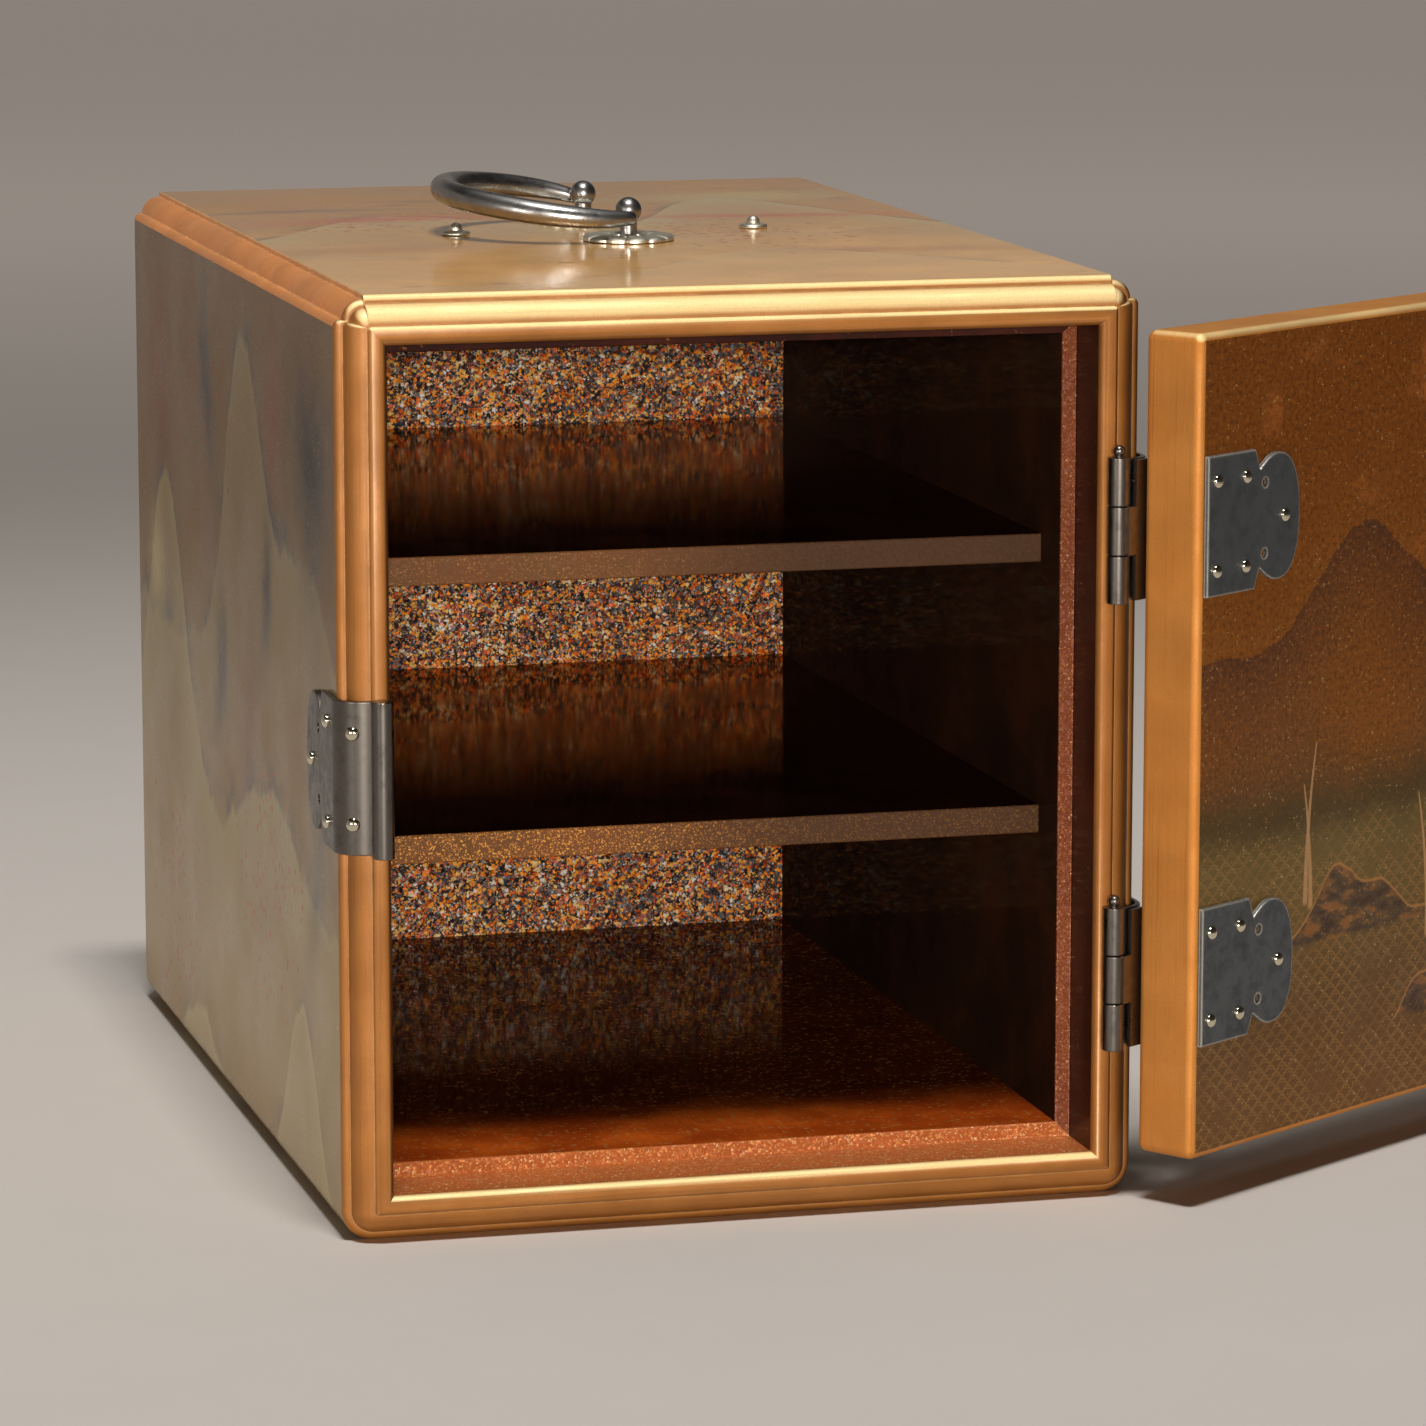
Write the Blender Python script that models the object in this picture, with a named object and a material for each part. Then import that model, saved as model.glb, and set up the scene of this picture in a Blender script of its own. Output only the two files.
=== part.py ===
"""A small gold lacquer cabinet with its hinged door swung open.

The case stands on its underside. X runs to the right, Y to the back and Z up, in metres.
The origin is the centre of the underside. The door hangs on the right front upright and the
ring handle folds left and right on the top.
"""

import math

import bmesh
import bpy
from mathutils import Matrix, Vector

# Case, outside sizes and walls
CASE_WIDTH = 0.0800
CASE_DEPTH = 0.1164
CASE_HEIGHT = 0.0918
SIDE_WALL = 0.0062
BACK_WALL = 0.0051
BOTTOM_CORNER_RADIUS = 0.0030

# Front rim: a moulding, a flat ring and a stop strip behind the door
RIM_WIDTH = 0.0047
MOULDING_SIZE = 0.0030
BEAD_RADIUS = 0.00065
QUIRK_WIDTH = 0.0002
RISER_HEIGHT = 0.0005
RISER_CHAMFER = 0.00015
CORNER_SHRINK = 0.12

# Shelves, counted upwards from the case's floor
SHELF_THICKNESS = 0.0029
LOWER_ROOM_HEIGHT = 0.0283
MIDDLE_ROOM_HEIGHT = 0.0246
SHELF_SETBACK = 0.0140
SHELF_HOUSING = 0.0010
SHELF_GAP = 0.0003

# Door, hung inside the rim
DOOR_THICKNESS = 0.0069
DOOR_CLEARANCE = 0.0005
DOOR_END_CLEARANCE = 0.0003
DOOR_SEAT_GAP = 0.00015
DOOR_EDGE_RADIUS = 0.0009
DOOR_OPEN_ANGLE = math.radians(214.3)

# Hinges: the axis stands beside the opening and in front of the rim
HINGE_AXIS_BESIDE = 0.0015
HINGE_AXIS_FORWARD = 0.0014
HINGE_FROM_BOTTOM = 0.0226
HINGE_FROM_TOP = 0.0246
BARREL_RADIUS = 0.00105
BARREL_RISE = 0.0003
KNUCKLE_GAP = 0.0001
PIN_RADIUS = 0.00036
PIN_CLEARANCE = 0.0001
PIN_BALL_RADIUS = 0.0006

# Silver sheet of the leaves, plates and catch: a notch, then a lobe, towards the far end
SHEET_THICKNESS = 0.0005
SHEET_GAP = 0.0001
SHEET_HALF_HEIGHT = 0.0069
STRAP_CORNER_RADIUS = 0.0024
STRAP_LENGTH = 0.0148
PLATE_LENGTH = 0.0157
PLATE_INSET = 0.0003
PLATE_RISE = 0.0008
NOTCH_FROM_END = 0.0066
NOTCH_RUN = 0.0008
NOTCH_HALF_HEIGHT = 0.0049
LOBE_PEAK_FROM_END = 0.0037
LOBE_HALF_HEIGHT = 0.0063
LOBE_END_HALF_HEIGHT = 0.0010
LOBE_POWER = 2.4
PIERCING_RADIUS = 0.0005
PIERCING_FROM_END = 0.0058
PIERCING_SIDE_OFFSET = 0.0035

# Catch on the left upright, a little taller than the leaves, with a rolled front edge
CATCH_GROWTH = 1.08
CATCH_ROLL_BESIDE = 0.0011
CATCH_ROLL_RISE = 0.00015
CATCH_NAIL_COLUMN = 0.0047
CATCH_NAIL_SIDE_OFFSET = 0.0049
CATCH_BEND_NAIL_ANGLE = math.radians(30.0)

# Nails, placed along each sheet and either side of its middle
NAIL_RADIUS = 0.00070
NAIL_HEIGHT = 0.00042
NAIL_SIDE_OFFSET = 0.0044
NAIL_LOBE_FROM_END = 0.0026
PLATE_NAILS = (0.0020, 0.0067)
LEAF_NAILS = (0.0067,)
STRAP_NAILS = (0.0032, 0.0062)

# Ring handle on two posts
POST_SPACING = 0.0200
POST_RADIUS = 0.0009
POST_FOOT_RADIUS = 0.00115
POST_FOOT_HEIGHT = 0.0003
POST_BALL_RADIUS = 0.00135
POST_BALL_HEIGHT = 0.0031
RING_PIVOT_HEIGHT = 0.0025
RING_CENTRE_OFFSET = 0.0042
RING_TUBE_RADIUS = 0.0013
RING_END_RADIUS = 0.0007
RING_PIN_RADIUS = 0.00045
RING_PIN_CLEARANCE = 0.0001
RING_END_GAP = 0.0002
RING_TURN_INSET = 0.00063
RING_TURN_RADIUS = 0.00052
RING_REST_TILT = math.radians(7.0)
RING_TWIST = math.radians(2.5)
RING_SWELL_POWER = 4
RING_TWIST_POWER = 8

# Petal plates under the posts, and the studs that the folded ring rests on. The petal plate's
# profile is (share of the way out, share of the height, depth of the furrow between petals).
ROSETTE_RADIUS = 0.0048
ROSETTE_HEIGHT = 0.0007
ROSETTE_EDGE = 0.00025
ROSETTE_PETALS = 12
ROSETTE_SCALLOP = 0.07
ROSETTE_HOLE_GAP = 0.0001
ROSETTE_PROFILE = ((0.0, 1.0, 0.0), (0.18, 0.9, 0.1), (0.38, 0.7, 0.5), (0.74, 1.0, 0.55))
STUD_HEIGHT = 0.0013
STUD_COLLAR_RADIUS = 0.0015
STUD_COLLAR_TOP_RADIUS = 0.0012
STUD_COLLAR_EDGE = 0.00027
STUD_COLLAR_HEIGHT = 0.00045
STUD_DOME_RADIUS = 0.0007
STUD_INSET = 0.0012

# Numbers of facets
BARREL_SIDES = 14
NAIL_SIDES = 10
TURNED_SIDES = 16
RING_SIDES = 12
RING_STEPS = 30
PETAL_STEPS = 4
PIERCING_SIDES = 8
CORNER_STEPS = 5
BEAD_STEPS = 3
LOBE_STEPS = 7
NOTCH_STEPS = 3
BEVEL_SEGMENTS = 3
NAIL_STEPS = 3
PIN_BALL_DEGREES = (-40, -10, 20, 50)
POST_BALL_DEGREES = (-20, 5, 30, 58)
STUD_DOME_DEGREES = (35, 65)

# Places worked out from the sizes above
FRONT = -CASE_DEPTH / 2
BACK = CASE_DEPTH / 2
OPENING_HALF_WIDTH = CASE_WIDTH / 2 - RIM_WIDTH
CAVITY_HALF_WIDTH = CASE_WIDTH / 2 - SIDE_WALL
CAVITY_BACK = BACK - BACK_WALL
REBATE_DEPTH = DOOR_THICKNESS + SHEET_GAP + SHEET_THICKNESS + DOOR_SEAT_GAP
DOOR_HALF_WIDTH = OPENING_HALF_WIDTH - DOOR_CLEARANCE
HINGE_X = OPENING_HALF_WIDTH + HINGE_AXIS_BESIDE
HINGE_Y = FRONT - HINGE_AXIS_FORWARD
CATCH_X = OPENING_HALF_WIDTH + CATCH_ROLL_BESIDE
HINGE_HEIGHTS = {
    "lower": HINGE_FROM_BOTTOM,
    "upper": CASE_HEIGHT - HINGE_FROM_TOP,
}
LOWER_SHELF_BASE = SIDE_WALL + LOWER_ROOM_HEIGHT
UPPER_SHELF_BASE = LOWER_SHELF_BASE + SHELF_THICKNESS + MIDDLE_ROOM_HEIGHT
BARREL_HEIGHT = 2 * (SHEET_HALF_HEIGHT + BARREL_RISE)
CATCH_ROLL_HEIGHT = 2 * (SHEET_HALF_HEIGHT * CATCH_GROWTH + CATCH_ROLL_RISE)
RING_END_HALF = POST_SPACING / 2 + POST_BALL_RADIUS + RING_END_GAP + RING_END_RADIUS
RING_RADIUS = math.hypot(RING_END_HALF, RING_CENTRE_OFFSET)
RING_REACH = RING_CENTRE_OFFSET + RING_RADIUS
STUD_X = RING_REACH - STUD_INSET

# Finishes as (colour, metallic, roughness)
GOLD_LACQUER = ((0.62, 0.36, 0.14, 1.0), 0.55, 0.30)
DARK_LACQUER = ((0.035, 0.018, 0.012, 1.0), 0.0, 0.12)
DOOR_LACQUER = ((0.40, 0.20, 0.07, 1.0), 0.45, 0.28)
SILVER = ((0.42, 0.41, 0.40, 1.0), 1.0, 0.30)
DARK_SILVER = ((0.10, 0.10, 0.10, 1.0), 0.9, 0.38)
PALE_SILVER = ((0.72, 0.66, 0.50, 1.0), 1.0, 0.25)


def clear_scene():
    """Remove every object that the scene starts with."""
    for item in list(bpy.data.objects):
        bpy.data.objects.remove(item, do_unlink=True)


def dress(item, finish):
    """Give an object its own material from a finish."""
    colour, metallic, roughness = finish
    material = bpy.data.materials.new(item.name + "_finish")
    material.use_nodes = True
    shader = material.node_tree.nodes["Principled BSDF"]
    shader.inputs["Base Color"].default_value = colour
    shader.inputs["Metallic"].default_value = metallic
    shader.inputs["Roughness"].default_value = roughness
    item.data.materials.append(material)


def add_object(name, bm, finish=None, parent=None, location=(0, 0, 0), rotation=None):
    """Turn a bmesh into a named object, with its faces outward."""
    bmesh.ops.recalc_face_normals(bm, faces=bm.faces)
    mesh = bpy.data.meshes.new(name)
    bm.to_mesh(mesh)
    bm.free()
    item = bpy.data.objects.new(name, mesh)
    bpy.context.collection.objects.link(item)
    item.parent = parent
    item.location = location
    if rotation is not None:
        item.rotation_euler = rotation.to_euler()
    if finish is not None:
        dress(item, finish)
        mesh.shade_smooth()
        mesh.set_sharp_from_angle(angle=math.radians(35))
    return item


def add_empty(name, location, turn=0.0, axis="Z"):
    """An empty on a joint's axis, turned to the pose that the photograph shows."""
    empty = bpy.data.objects.new(name, None)
    bpy.context.collection.objects.link(empty)
    empty.location = location
    empty.rotation_euler = Matrix.Rotation(turn, 3, axis).to_euler()
    return empty


def loft(bm, rings, close_ring=True):
    """Join rings of points, all of one length, by faces and cap both ends."""
    rows = [[bm.verts.new(point) for point in ring] for ring in rings]
    count = len(rows[0])
    last = count if close_ring else count - 1
    for low, high in zip(rows, rows[1:]):
        for i in range(last):
            j = (i + 1) % count
            bm.faces.new((low[i], low[j], high[j], high[i]))
    bm.faces.new(rows[0])
    bm.faces.new(rows[-1])
    return bm


def box(low, high):
    """A closed box between two corners."""
    bm = bmesh.new()
    bottom = [(low[0], low[1]), (high[0], low[1]), (high[0], high[1]), (low[0], high[1])]
    loft(bm, [[(x, y, z) for x, y in bottom] for z in (low[2], high[2])])
    return bm


def turned(profile, sides):
    """A turned body about Z from (radius, height) pairs, with a point where a radius is 0."""
    bm = bmesh.new()
    rows = []
    for radius, height in profile:
        if radius == 0:
            rows.append([bm.verts.new((0, 0, height))])
            continue
        angles = [2 * math.pi * i / sides for i in range(sides)]
        rows.append(
            [bm.verts.new((radius * math.cos(a), radius * math.sin(a), height)) for a in angles]
        )
    for low, high in zip(rows, rows[1:]):
        for i in range(sides):
            j = (i + 1) % sides
            corners = [low[i % len(low)], low[j % len(low)], high[j % len(high)], high[i % len(high)]]
            bm.faces.new(list(dict.fromkeys(corners)))
    for row in (rows[0], rows[-1]):
        if len(row) > 1:
            bm.faces.new(row)
    return bm


def combine(target, tool, operation):
    """Cut a hidden object from a target, or join it on, with an exact Boolean."""
    modifier = target.modifiers.new(tool.name, "BOOLEAN")
    modifier.operation = operation
    modifier.solver = "EXACT"
    modifier.object = tool
    tool.hide_render = True
    tool.display_type = "WIRE"


def moulding_profile():
    """The stepped ovolo as (inset, drop) pairs, from the side panel to the top."""
    points = []
    for i in range(BEAD_STEPS + 1):
        angle = math.pi / 2 * i / BEAD_STEPS
        inset = BEAD_RADIUS * (1 - math.cos(angle))
        points.append((inset, MOULDING_SIZE - BEAD_RADIUS * math.sin(angle)))
    inner = MOULDING_SIZE - RISER_CHAMFER
    width = inner - BEAD_RADIUS - QUIRK_WIDTH
    height = MOULDING_SIZE - BEAD_RADIUS - RISER_HEIGHT
    for i in range(CORNER_STEPS + 1):
        angle = math.pi / 2 * i / CORNER_STEPS
        drop = MOULDING_SIZE - BEAD_RADIUS - height * math.sin(angle)
        points.append((inner - width * math.cos(angle), drop))
    points.append((inner, RISER_CHAMFER))
    points.append((MOULDING_SIZE, 0.0))
    return points


def case_outline(inset):
    """The case's section at an inset: moulded top corners and round bottom corners."""
    share = max(1 - inset / MOULDING_SIZE, CORNER_SHRINK)
    half = CASE_WIDTH / 2 - inset
    top = CASE_HEIGHT - inset
    radius = BOTTOM_CORNER_RADIUS * share
    right = []
    for i in range(CORNER_STEPS + 1):
        angle = math.pi / 2 * i / CORNER_STEPS
        x = half - radius * (1 - math.sin(angle))
        right.append((x, inset + radius * (1 - math.cos(angle))))
    for across, down in moulding_profile():
        right.append((half - across * share, top - down * share))
    return right + [(-x, z) for x, z in reversed(right)]


def make_case():
    """The hollow case: moulded outside, door rebate, cavity and shelf housings."""
    stations = [(inset, FRONT + drop) for inset, drop in reversed(moulding_profile())]
    stations.append((0.0, BACK))
    bm = bmesh.new()
    loft(bm, [[(x, y, z) for x, z in case_outline(inset)] for inset, y in stations])
    case = add_object("case", bm, GOLD_LACQUER)
    outside = MOULDING_SIZE
    overlap = REBATE_DEPTH / 4
    rebate = box(
        (-OPENING_HALF_WIDTH, FRONT - outside, RIM_WIDTH),
        (OPENING_HALF_WIDTH, FRONT + REBATE_DEPTH, CASE_HEIGHT - RIM_WIDTH),
    )
    cavity = box(
        (-CAVITY_HALF_WIDTH, FRONT + REBATE_DEPTH - overlap, SIDE_WALL),
        (CAVITY_HALF_WIDTH, CAVITY_BACK, CASE_HEIGHT - SIDE_WALL),
    )
    combine(case, add_object("cut_rebate", rebate), "DIFFERENCE")
    combine(case, add_object("cut_cavity", cavity), "DIFFERENCE")
    for name, base in (("lower", LOWER_SHELF_BASE), ("upper", UPPER_SHELF_BASE)):
        housing = box(
            (-CAVITY_HALF_WIDTH - SHELF_HOUSING, FRONT + SHELF_SETBACK - SHELF_GAP, base - SHELF_GAP),
            (
                CAVITY_HALF_WIDTH + SHELF_HOUSING,
                CAVITY_BACK + SHELF_HOUSING,
                base + SHELF_THICKNESS + SHELF_GAP,
            ),
        )
        combine(case, add_object("cut_housing_" + name, housing), "DIFFERENCE")
    return case


def make_shelves():
    """Two shelves, each held in the housings of the side walls and the back."""
    half = CAVITY_HALF_WIDTH + SHELF_HOUSING - SHELF_GAP
    for name, base in (("lower", LOWER_SHELF_BASE), ("upper", UPPER_SHELF_BASE)):
        shelf = box(
            (-half, FRONT + SHELF_SETBACK, 0),
            (half, CAVITY_BACK + SHELF_HOUSING - SHELF_GAP, SHELF_THICKNESS),
        )
        add_object("shelf_" + name, shelf, DARK_LACQUER, location=(0, 0, base))


def make_door(axis):
    """The slab door with rounded edges, in its closed place before the axis turns it."""
    low = (-DOOR_HALF_WIDTH - HINGE_X, HINGE_AXIS_FORWARD, RIM_WIDTH + DOOR_END_CLEARANCE)
    high = (
        DOOR_HALF_WIDTH - HINGE_X,
        HINGE_AXIS_FORWARD + DOOR_THICKNESS,
        CASE_HEIGHT - RIM_WIDTH - DOOR_END_CLEARANCE,
    )
    bm = box(low, high)
    bmesh.ops.bevel(
        bm,
        geom=list(bm.edges),
        offset=DOOR_EDGE_RADIUS,
        segments=BEVEL_SEGMENTS,
        profile=0.5,
        affect="EDGES",
    )
    add_object("door", bm, DOOR_LACQUER, parent=axis)


def sheet_half_height(to_end):
    """Half the height of a silver sheet at a distance from its lobed end."""
    if to_end >= NOTCH_FROM_END + NOTCH_RUN:
        return SHEET_HALF_HEIGHT
    if to_end >= NOTCH_FROM_END:
        share = (to_end - NOTCH_FROM_END) / NOTCH_RUN
        return NOTCH_HALF_HEIGHT + (SHEET_HALF_HEIGHT - NOTCH_HALF_HEIGHT) * share
    if to_end >= LOBE_PEAK_FROM_END:
        share = (NOTCH_FROM_END - to_end) / (NOTCH_FROM_END - LOBE_PEAK_FROM_END)
        rise = math.sin(share * math.pi / 2)
        return NOTCH_HALF_HEIGHT + (LOBE_HALF_HEIGHT - NOTCH_HALF_HEIGHT) * rise
    across = 1 - to_end / LOBE_PEAK_FROM_END
    share = max(0.0, 1 - across**LOBE_POWER) ** (1 / LOBE_POWER)
    return max(LOBE_HALF_HEIGHT * share, LOBE_END_HALF_HEIGHT)


def sheet_stops(length):
    """Distances along a sheet where its outline turns, from its start to its lobed end."""
    from_end = [length, NOTCH_FROM_END + NOTCH_RUN, NOTCH_FROM_END]
    run = NOTCH_FROM_END - LOBE_PEAK_FROM_END
    from_end += [NOTCH_FROM_END - run * i / NOTCH_STEPS for i in range(1, NOTCH_STEPS)]
    for i in range(LOBE_STEPS + 1):
        angle = math.pi / 2 * i / LOBE_STEPS
        from_end.append(LOBE_PEAK_FROM_END * (1 - math.sin(angle)))
    return [length - distance for distance in from_end]


def sheet_mesh(path, length, growth=1.0):
    """A lofted sheet. The path gives a point on its back and its outward side at a distance."""
    bm = bmesh.new()
    rings = []
    for distance, back, outward in path:
        half = growth * sheet_half_height(length - distance)
        front = back + outward * SHEET_THICKNESS
        rings.append([(*back, -half), (*back, half), (*front, half), (*front, -half)])
    loft(bm, rings)
    return bm


def straight_path(length, back, direction, outward):
    """A flat sheet's path from a starting point on its back."""
    return [(d, back + direction * d, outward) for d in sheet_stops(length)]


def strap_bend(axis_x):
    """Centre of the bend in which a strap turns from the front to the side of the case."""
    bend_x = CASE_WIDTH / 2 - axis_x - STRAP_CORNER_RADIUS
    return bend_x, HINGE_AXIS_FORWARD + STRAP_CORNER_RADIUS


def strap_path(side, axis_x):
    """The path of a strap that wraps the front moulding, from behind its barrel.

    The path starts at the barrel's axis and runs outward to a side (+1 right, -1 left).
    """
    face = HINGE_AXIS_FORWARD - SHEET_GAP
    bend_x, bend_y = strap_bend(axis_x)
    radius = STRAP_CORNER_RADIUS + SHEET_GAP
    bend_start = bend_x
    arc = STRAP_CORNER_RADIUS * math.pi / 2
    length = bend_start + arc + STRAP_LENGTH - STRAP_CORNER_RADIUS
    path = [(0.0, Vector((0, face)), Vector((0, -1)))]
    for i in range(CORNER_STEPS + 1):
        angle = math.pi / 2 * i / CORNER_STEPS
        outward = Vector((side * math.sin(angle), -math.cos(angle)))
        centre = Vector((side * bend_x, bend_y))
        path.append((bend_start + arc * i / CORNER_STEPS, centre + outward * radius, outward))
    for stop in sheet_stops(length)[1:]:
        along = stop - bend_start - arc
        back = Vector((side * (bend_x + radius), bend_y + along))
        path.append((stop, back, Vector((side, 0))))
    return path, length


def pierce(sheet, point, outward, parent, location):
    """Cut the pair of small round holes beside a sheet's notches."""
    hole = [(PIERCING_RADIUS, -NOTCH_RUN), (PIERCING_RADIUS, NOTCH_RUN)]
    turn = Vector((0, 0, 1)).rotation_difference(Vector((*outward, 0))).to_matrix()
    for number, height in enumerate((PIERCING_SIDE_OFFSET, -PIERCING_SIDE_OFFSET), start=1):
        place = Vector(location) + Vector((*point, height))
        name = f"{sheet.name}_piercing_{number}"
        cutter = add_object(name, turned(hole, PIERCING_SIDES), None, parent, place, turn)
        combine(sheet, cutter, "DIFFERENCE")


def nail_mesh():
    """A domed nail head on its own axis, with its flat side down."""
    profile = []
    for i in range(NAIL_STEPS + 1):
        angle = math.pi / 2 * i / NAIL_STEPS
        radius = NAIL_RADIUS * math.cos(angle) if i < NAIL_STEPS else 0
        profile.append((radius, NAIL_HEIGHT * math.sin(angle)))
    return turned(profile, NAIL_SIDES)


def drive_nails(prefix, places, parent, location):
    """Set a row of nails on a sheet. Each place is a point on its face, a side and a height."""
    for number, (point, outward, height) in enumerate(places, start=1):
        seat = Vector((*point, height)) + Vector((*outward, 0)) * SHEET_GAP
        turn = Vector((0, 0, 1)).rotation_difference(Vector((*outward, 0))).to_matrix()
        place = Vector(location) + seat
        name = f"nail_{prefix}_{number}"
        add_object(name, nail_mesh(), PALE_SILVER, parent, place, turn)


def nail_pair(point, outward, offset):
    """A pair of nails, one above and one below the middle of a sheet."""
    return [(point, outward, offset), (point, outward, -offset)]


def nail_places(points, outward, lobe, offset=NAIL_SIDE_OFFSET):
    """Pairs of nails at each point, and one in the middle of the lobe."""
    places = []
    for point in points:
        places += nail_pair(point, outward, offset)
    return places + [(lobe, outward, 0.0)]


def knuckle_span(level):
    """Lowest and highest point of one of the barrel's three knuckles, from the bottom up."""
    height = (BARREL_HEIGHT - 2 * KNUCKLE_GAP) / 3
    low = -BARREL_HEIGHT / 2 + level * (height + KNUCKLE_GAP)
    return low, low + height


def roll_barrel(leaf, kept_levels, parent, location):
    """Join the barrel onto a leaf, then clear the other leaf's knuckles and the pin's bore."""
    half = BARREL_HEIGHT / 2
    barrel = turned([(BARREL_RADIUS, -half), (BARREL_RADIUS, half)], BARREL_SIDES)
    combine(leaf, add_object(leaf.name + "_barrel", barrel, None, parent, location), "UNION")
    reach = BARREL_RADIUS + KNUCKLE_GAP
    deep = HINGE_AXIS_FORWARD + SHEET_THICKNESS
    for level in sorted({0, 1, 2} - set(kept_levels)):
        low, high = knuckle_span(level)
        low -= KNUCKLE_GAP if level > 0 else BARREL_RADIUS
        high += KNUCKLE_GAP if level < 2 else BARREL_RADIUS
        room = box((-reach, -reach, low), (reach, deep, high))
        combine(leaf, add_object(f"{leaf.name}_room_{level}", room, None, parent, location), "DIFFERENCE")
    bore_radius = PIN_RADIUS + PIN_CLEARANCE
    bore = turned([(bore_radius, -BARREL_HEIGHT), (bore_radius, BARREL_HEIGHT)], NAIL_SIDES)
    combine(leaf, add_object(leaf.name + "_bore", bore, None, parent, location), "DIFFERENCE")


def make_case_leaf(name, height):
    """A hinge leaf that wraps the right front moulding, with the outer knuckles."""
    path, length = strap_path(1, HINGE_X)
    place = (HINGE_X, HINGE_Y, height)
    leaf = add_object("hinge_case_leaf_" + name, sheet_mesh(path, length), SILVER, None, place)
    roll_barrel(leaf, (0, 2), None, place)
    side_face = CASE_WIDTH / 2 - HINGE_X + SHEET_GAP + SHEET_THICKNESS
    end = HINGE_AXIS_FORWARD + STRAP_LENGTH
    pierce(leaf, (side_face, end - PIERCING_FROM_END), (1, 0), None, place)
    points = [(side_face, HINGE_AXIS_FORWARD + y) for y in STRAP_NAILS]
    places = nail_places(points, (1, 0), (side_face, end - NAIL_LOBE_FROM_END))
    drive_nails("case_leaf_" + name, places, None, place)


def make_door_leaf(name, height, axis):
    """A hinge leaf on the door's outer face, with the middle knuckle."""
    face = HINGE_AXIS_FORWARD - SHEET_GAP
    edge = DOOR_HALF_WIDTH - HINGE_X
    end = edge - PLATE_LENGTH
    path = straight_path(-end, Vector((0, face)), Vector((-1, 0)), Vector((0, -1)))
    place = (0, 0, height)
    leaf = add_object("hinge_door_leaf_" + name, sheet_mesh(path, -end), SILVER, axis, place)
    roll_barrel(leaf, (1,), axis, place)
    front = face - SHEET_THICKNESS
    pierce(leaf, (end + PIERCING_FROM_END, front), (0, -1), axis, place)
    points = [(edge - x, front) for x in LEAF_NAILS]
    places = nail_places(points, (0, -1), (end + NAIL_LOBE_FROM_END, front))
    drive_nails("door_leaf_" + name, places, axis, place)


def make_door_plate(name, height, axis):
    """A backing plate on the door's inner face."""
    back = HINGE_AXIS_FORWARD + DOOR_THICKNESS + SHEET_GAP
    edge = DOOR_HALF_WIDTH - HINGE_X
    end = edge - PLATE_LENGTH
    start = edge - DOOR_EDGE_RADIUS + PLATE_INSET
    length = start - end
    path = straight_path(length, Vector((start, back)), Vector((-1, 0)), Vector((0, 1)))
    place = (0, 0, height + PLATE_RISE)
    plate = add_object("door_plate_" + name, sheet_mesh(path, length), DARK_SILVER, axis, place)
    front = back + SHEET_THICKNESS
    pierce(plate, (end + PIERCING_FROM_END, front), (0, 1), axis, place)
    points = [(edge - x, front) for x in PLATE_NAILS]
    places = nail_places(points, (0, 1), (end + NAIL_LOBE_FROM_END, front))
    drive_nails("door_plate_" + name, places, axis, place)


def make_pin(name, height):
    """A hinge pin with a small ball on its top."""
    top = BARREL_HEIGHT / 2 + KNUCKLE_GAP
    centre = top + PIN_BALL_RADIUS * math.cos(math.asin(PIN_RADIUS / PIN_BALL_RADIUS))
    profile = [(0, -BARREL_HEIGHT / 2), (PIN_RADIUS, -BARREL_HEIGHT / 2), (PIN_RADIUS, top)]
    for degrees in PIN_BALL_DEGREES:
        angle = math.radians(degrees)
        radius = PIN_BALL_RADIUS * math.cos(angle)
        profile.append((radius, centre + PIN_BALL_RADIUS * math.sin(angle)))
    profile.append((0, centre + PIN_BALL_RADIUS))
    pin = turned(profile, NAIL_SIDES)
    add_object("hinge_pin_" + name, pin, SILVER, None, (HINGE_X, HINGE_Y, height))


def make_catch():
    """The catch on the left front upright: a wrapped strap with a rolled front edge."""
    path, length = strap_path(-1, CATCH_X)
    place = (-CATCH_X, HINGE_Y, CASE_HEIGHT / 2)
    sheet = sheet_mesh(path, length, CATCH_GROWTH)
    catch = add_object("catch_plate", sheet, SILVER, None, place)
    half = CATCH_ROLL_HEIGHT / 2
    roll = turned([(BARREL_RADIUS, -half), (BARREL_RADIUS, half)], BARREL_SIDES)
    combine(catch, add_object("catch_roll", roll, None, None, place), "UNION")
    bend_x, bend_y = strap_bend(CATCH_X)
    side_face = -(CASE_WIDTH / 2 - CATCH_X + SHEET_GAP + SHEET_THICKNESS)
    end = HINGE_AXIS_FORWARD + STRAP_LENGTH
    pierce(catch, (side_face, end - PIERCING_FROM_END), (-1, 0), None, place)
    column = (side_face, HINGE_AXIS_FORWARD + CATCH_NAIL_COLUMN)
    lobe = (side_face, end - NAIL_LOBE_FROM_END)
    places = nail_places([column], (-1, 0), lobe, CATCH_NAIL_SIDE_OFFSET)
    slant = (-math.sin(CATCH_BEND_NAIL_ANGLE), -math.cos(CATCH_BEND_NAIL_ANGLE))
    radius = STRAP_CORNER_RADIUS + SHEET_GAP + SHEET_THICKNESS
    on_bend = (-bend_x + radius * slant[0], bend_y + radius * slant[1])
    places += nail_pair(on_bend, slant, NAIL_SIDE_OFFSET)
    drive_nails("catch", places, None, place)


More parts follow.
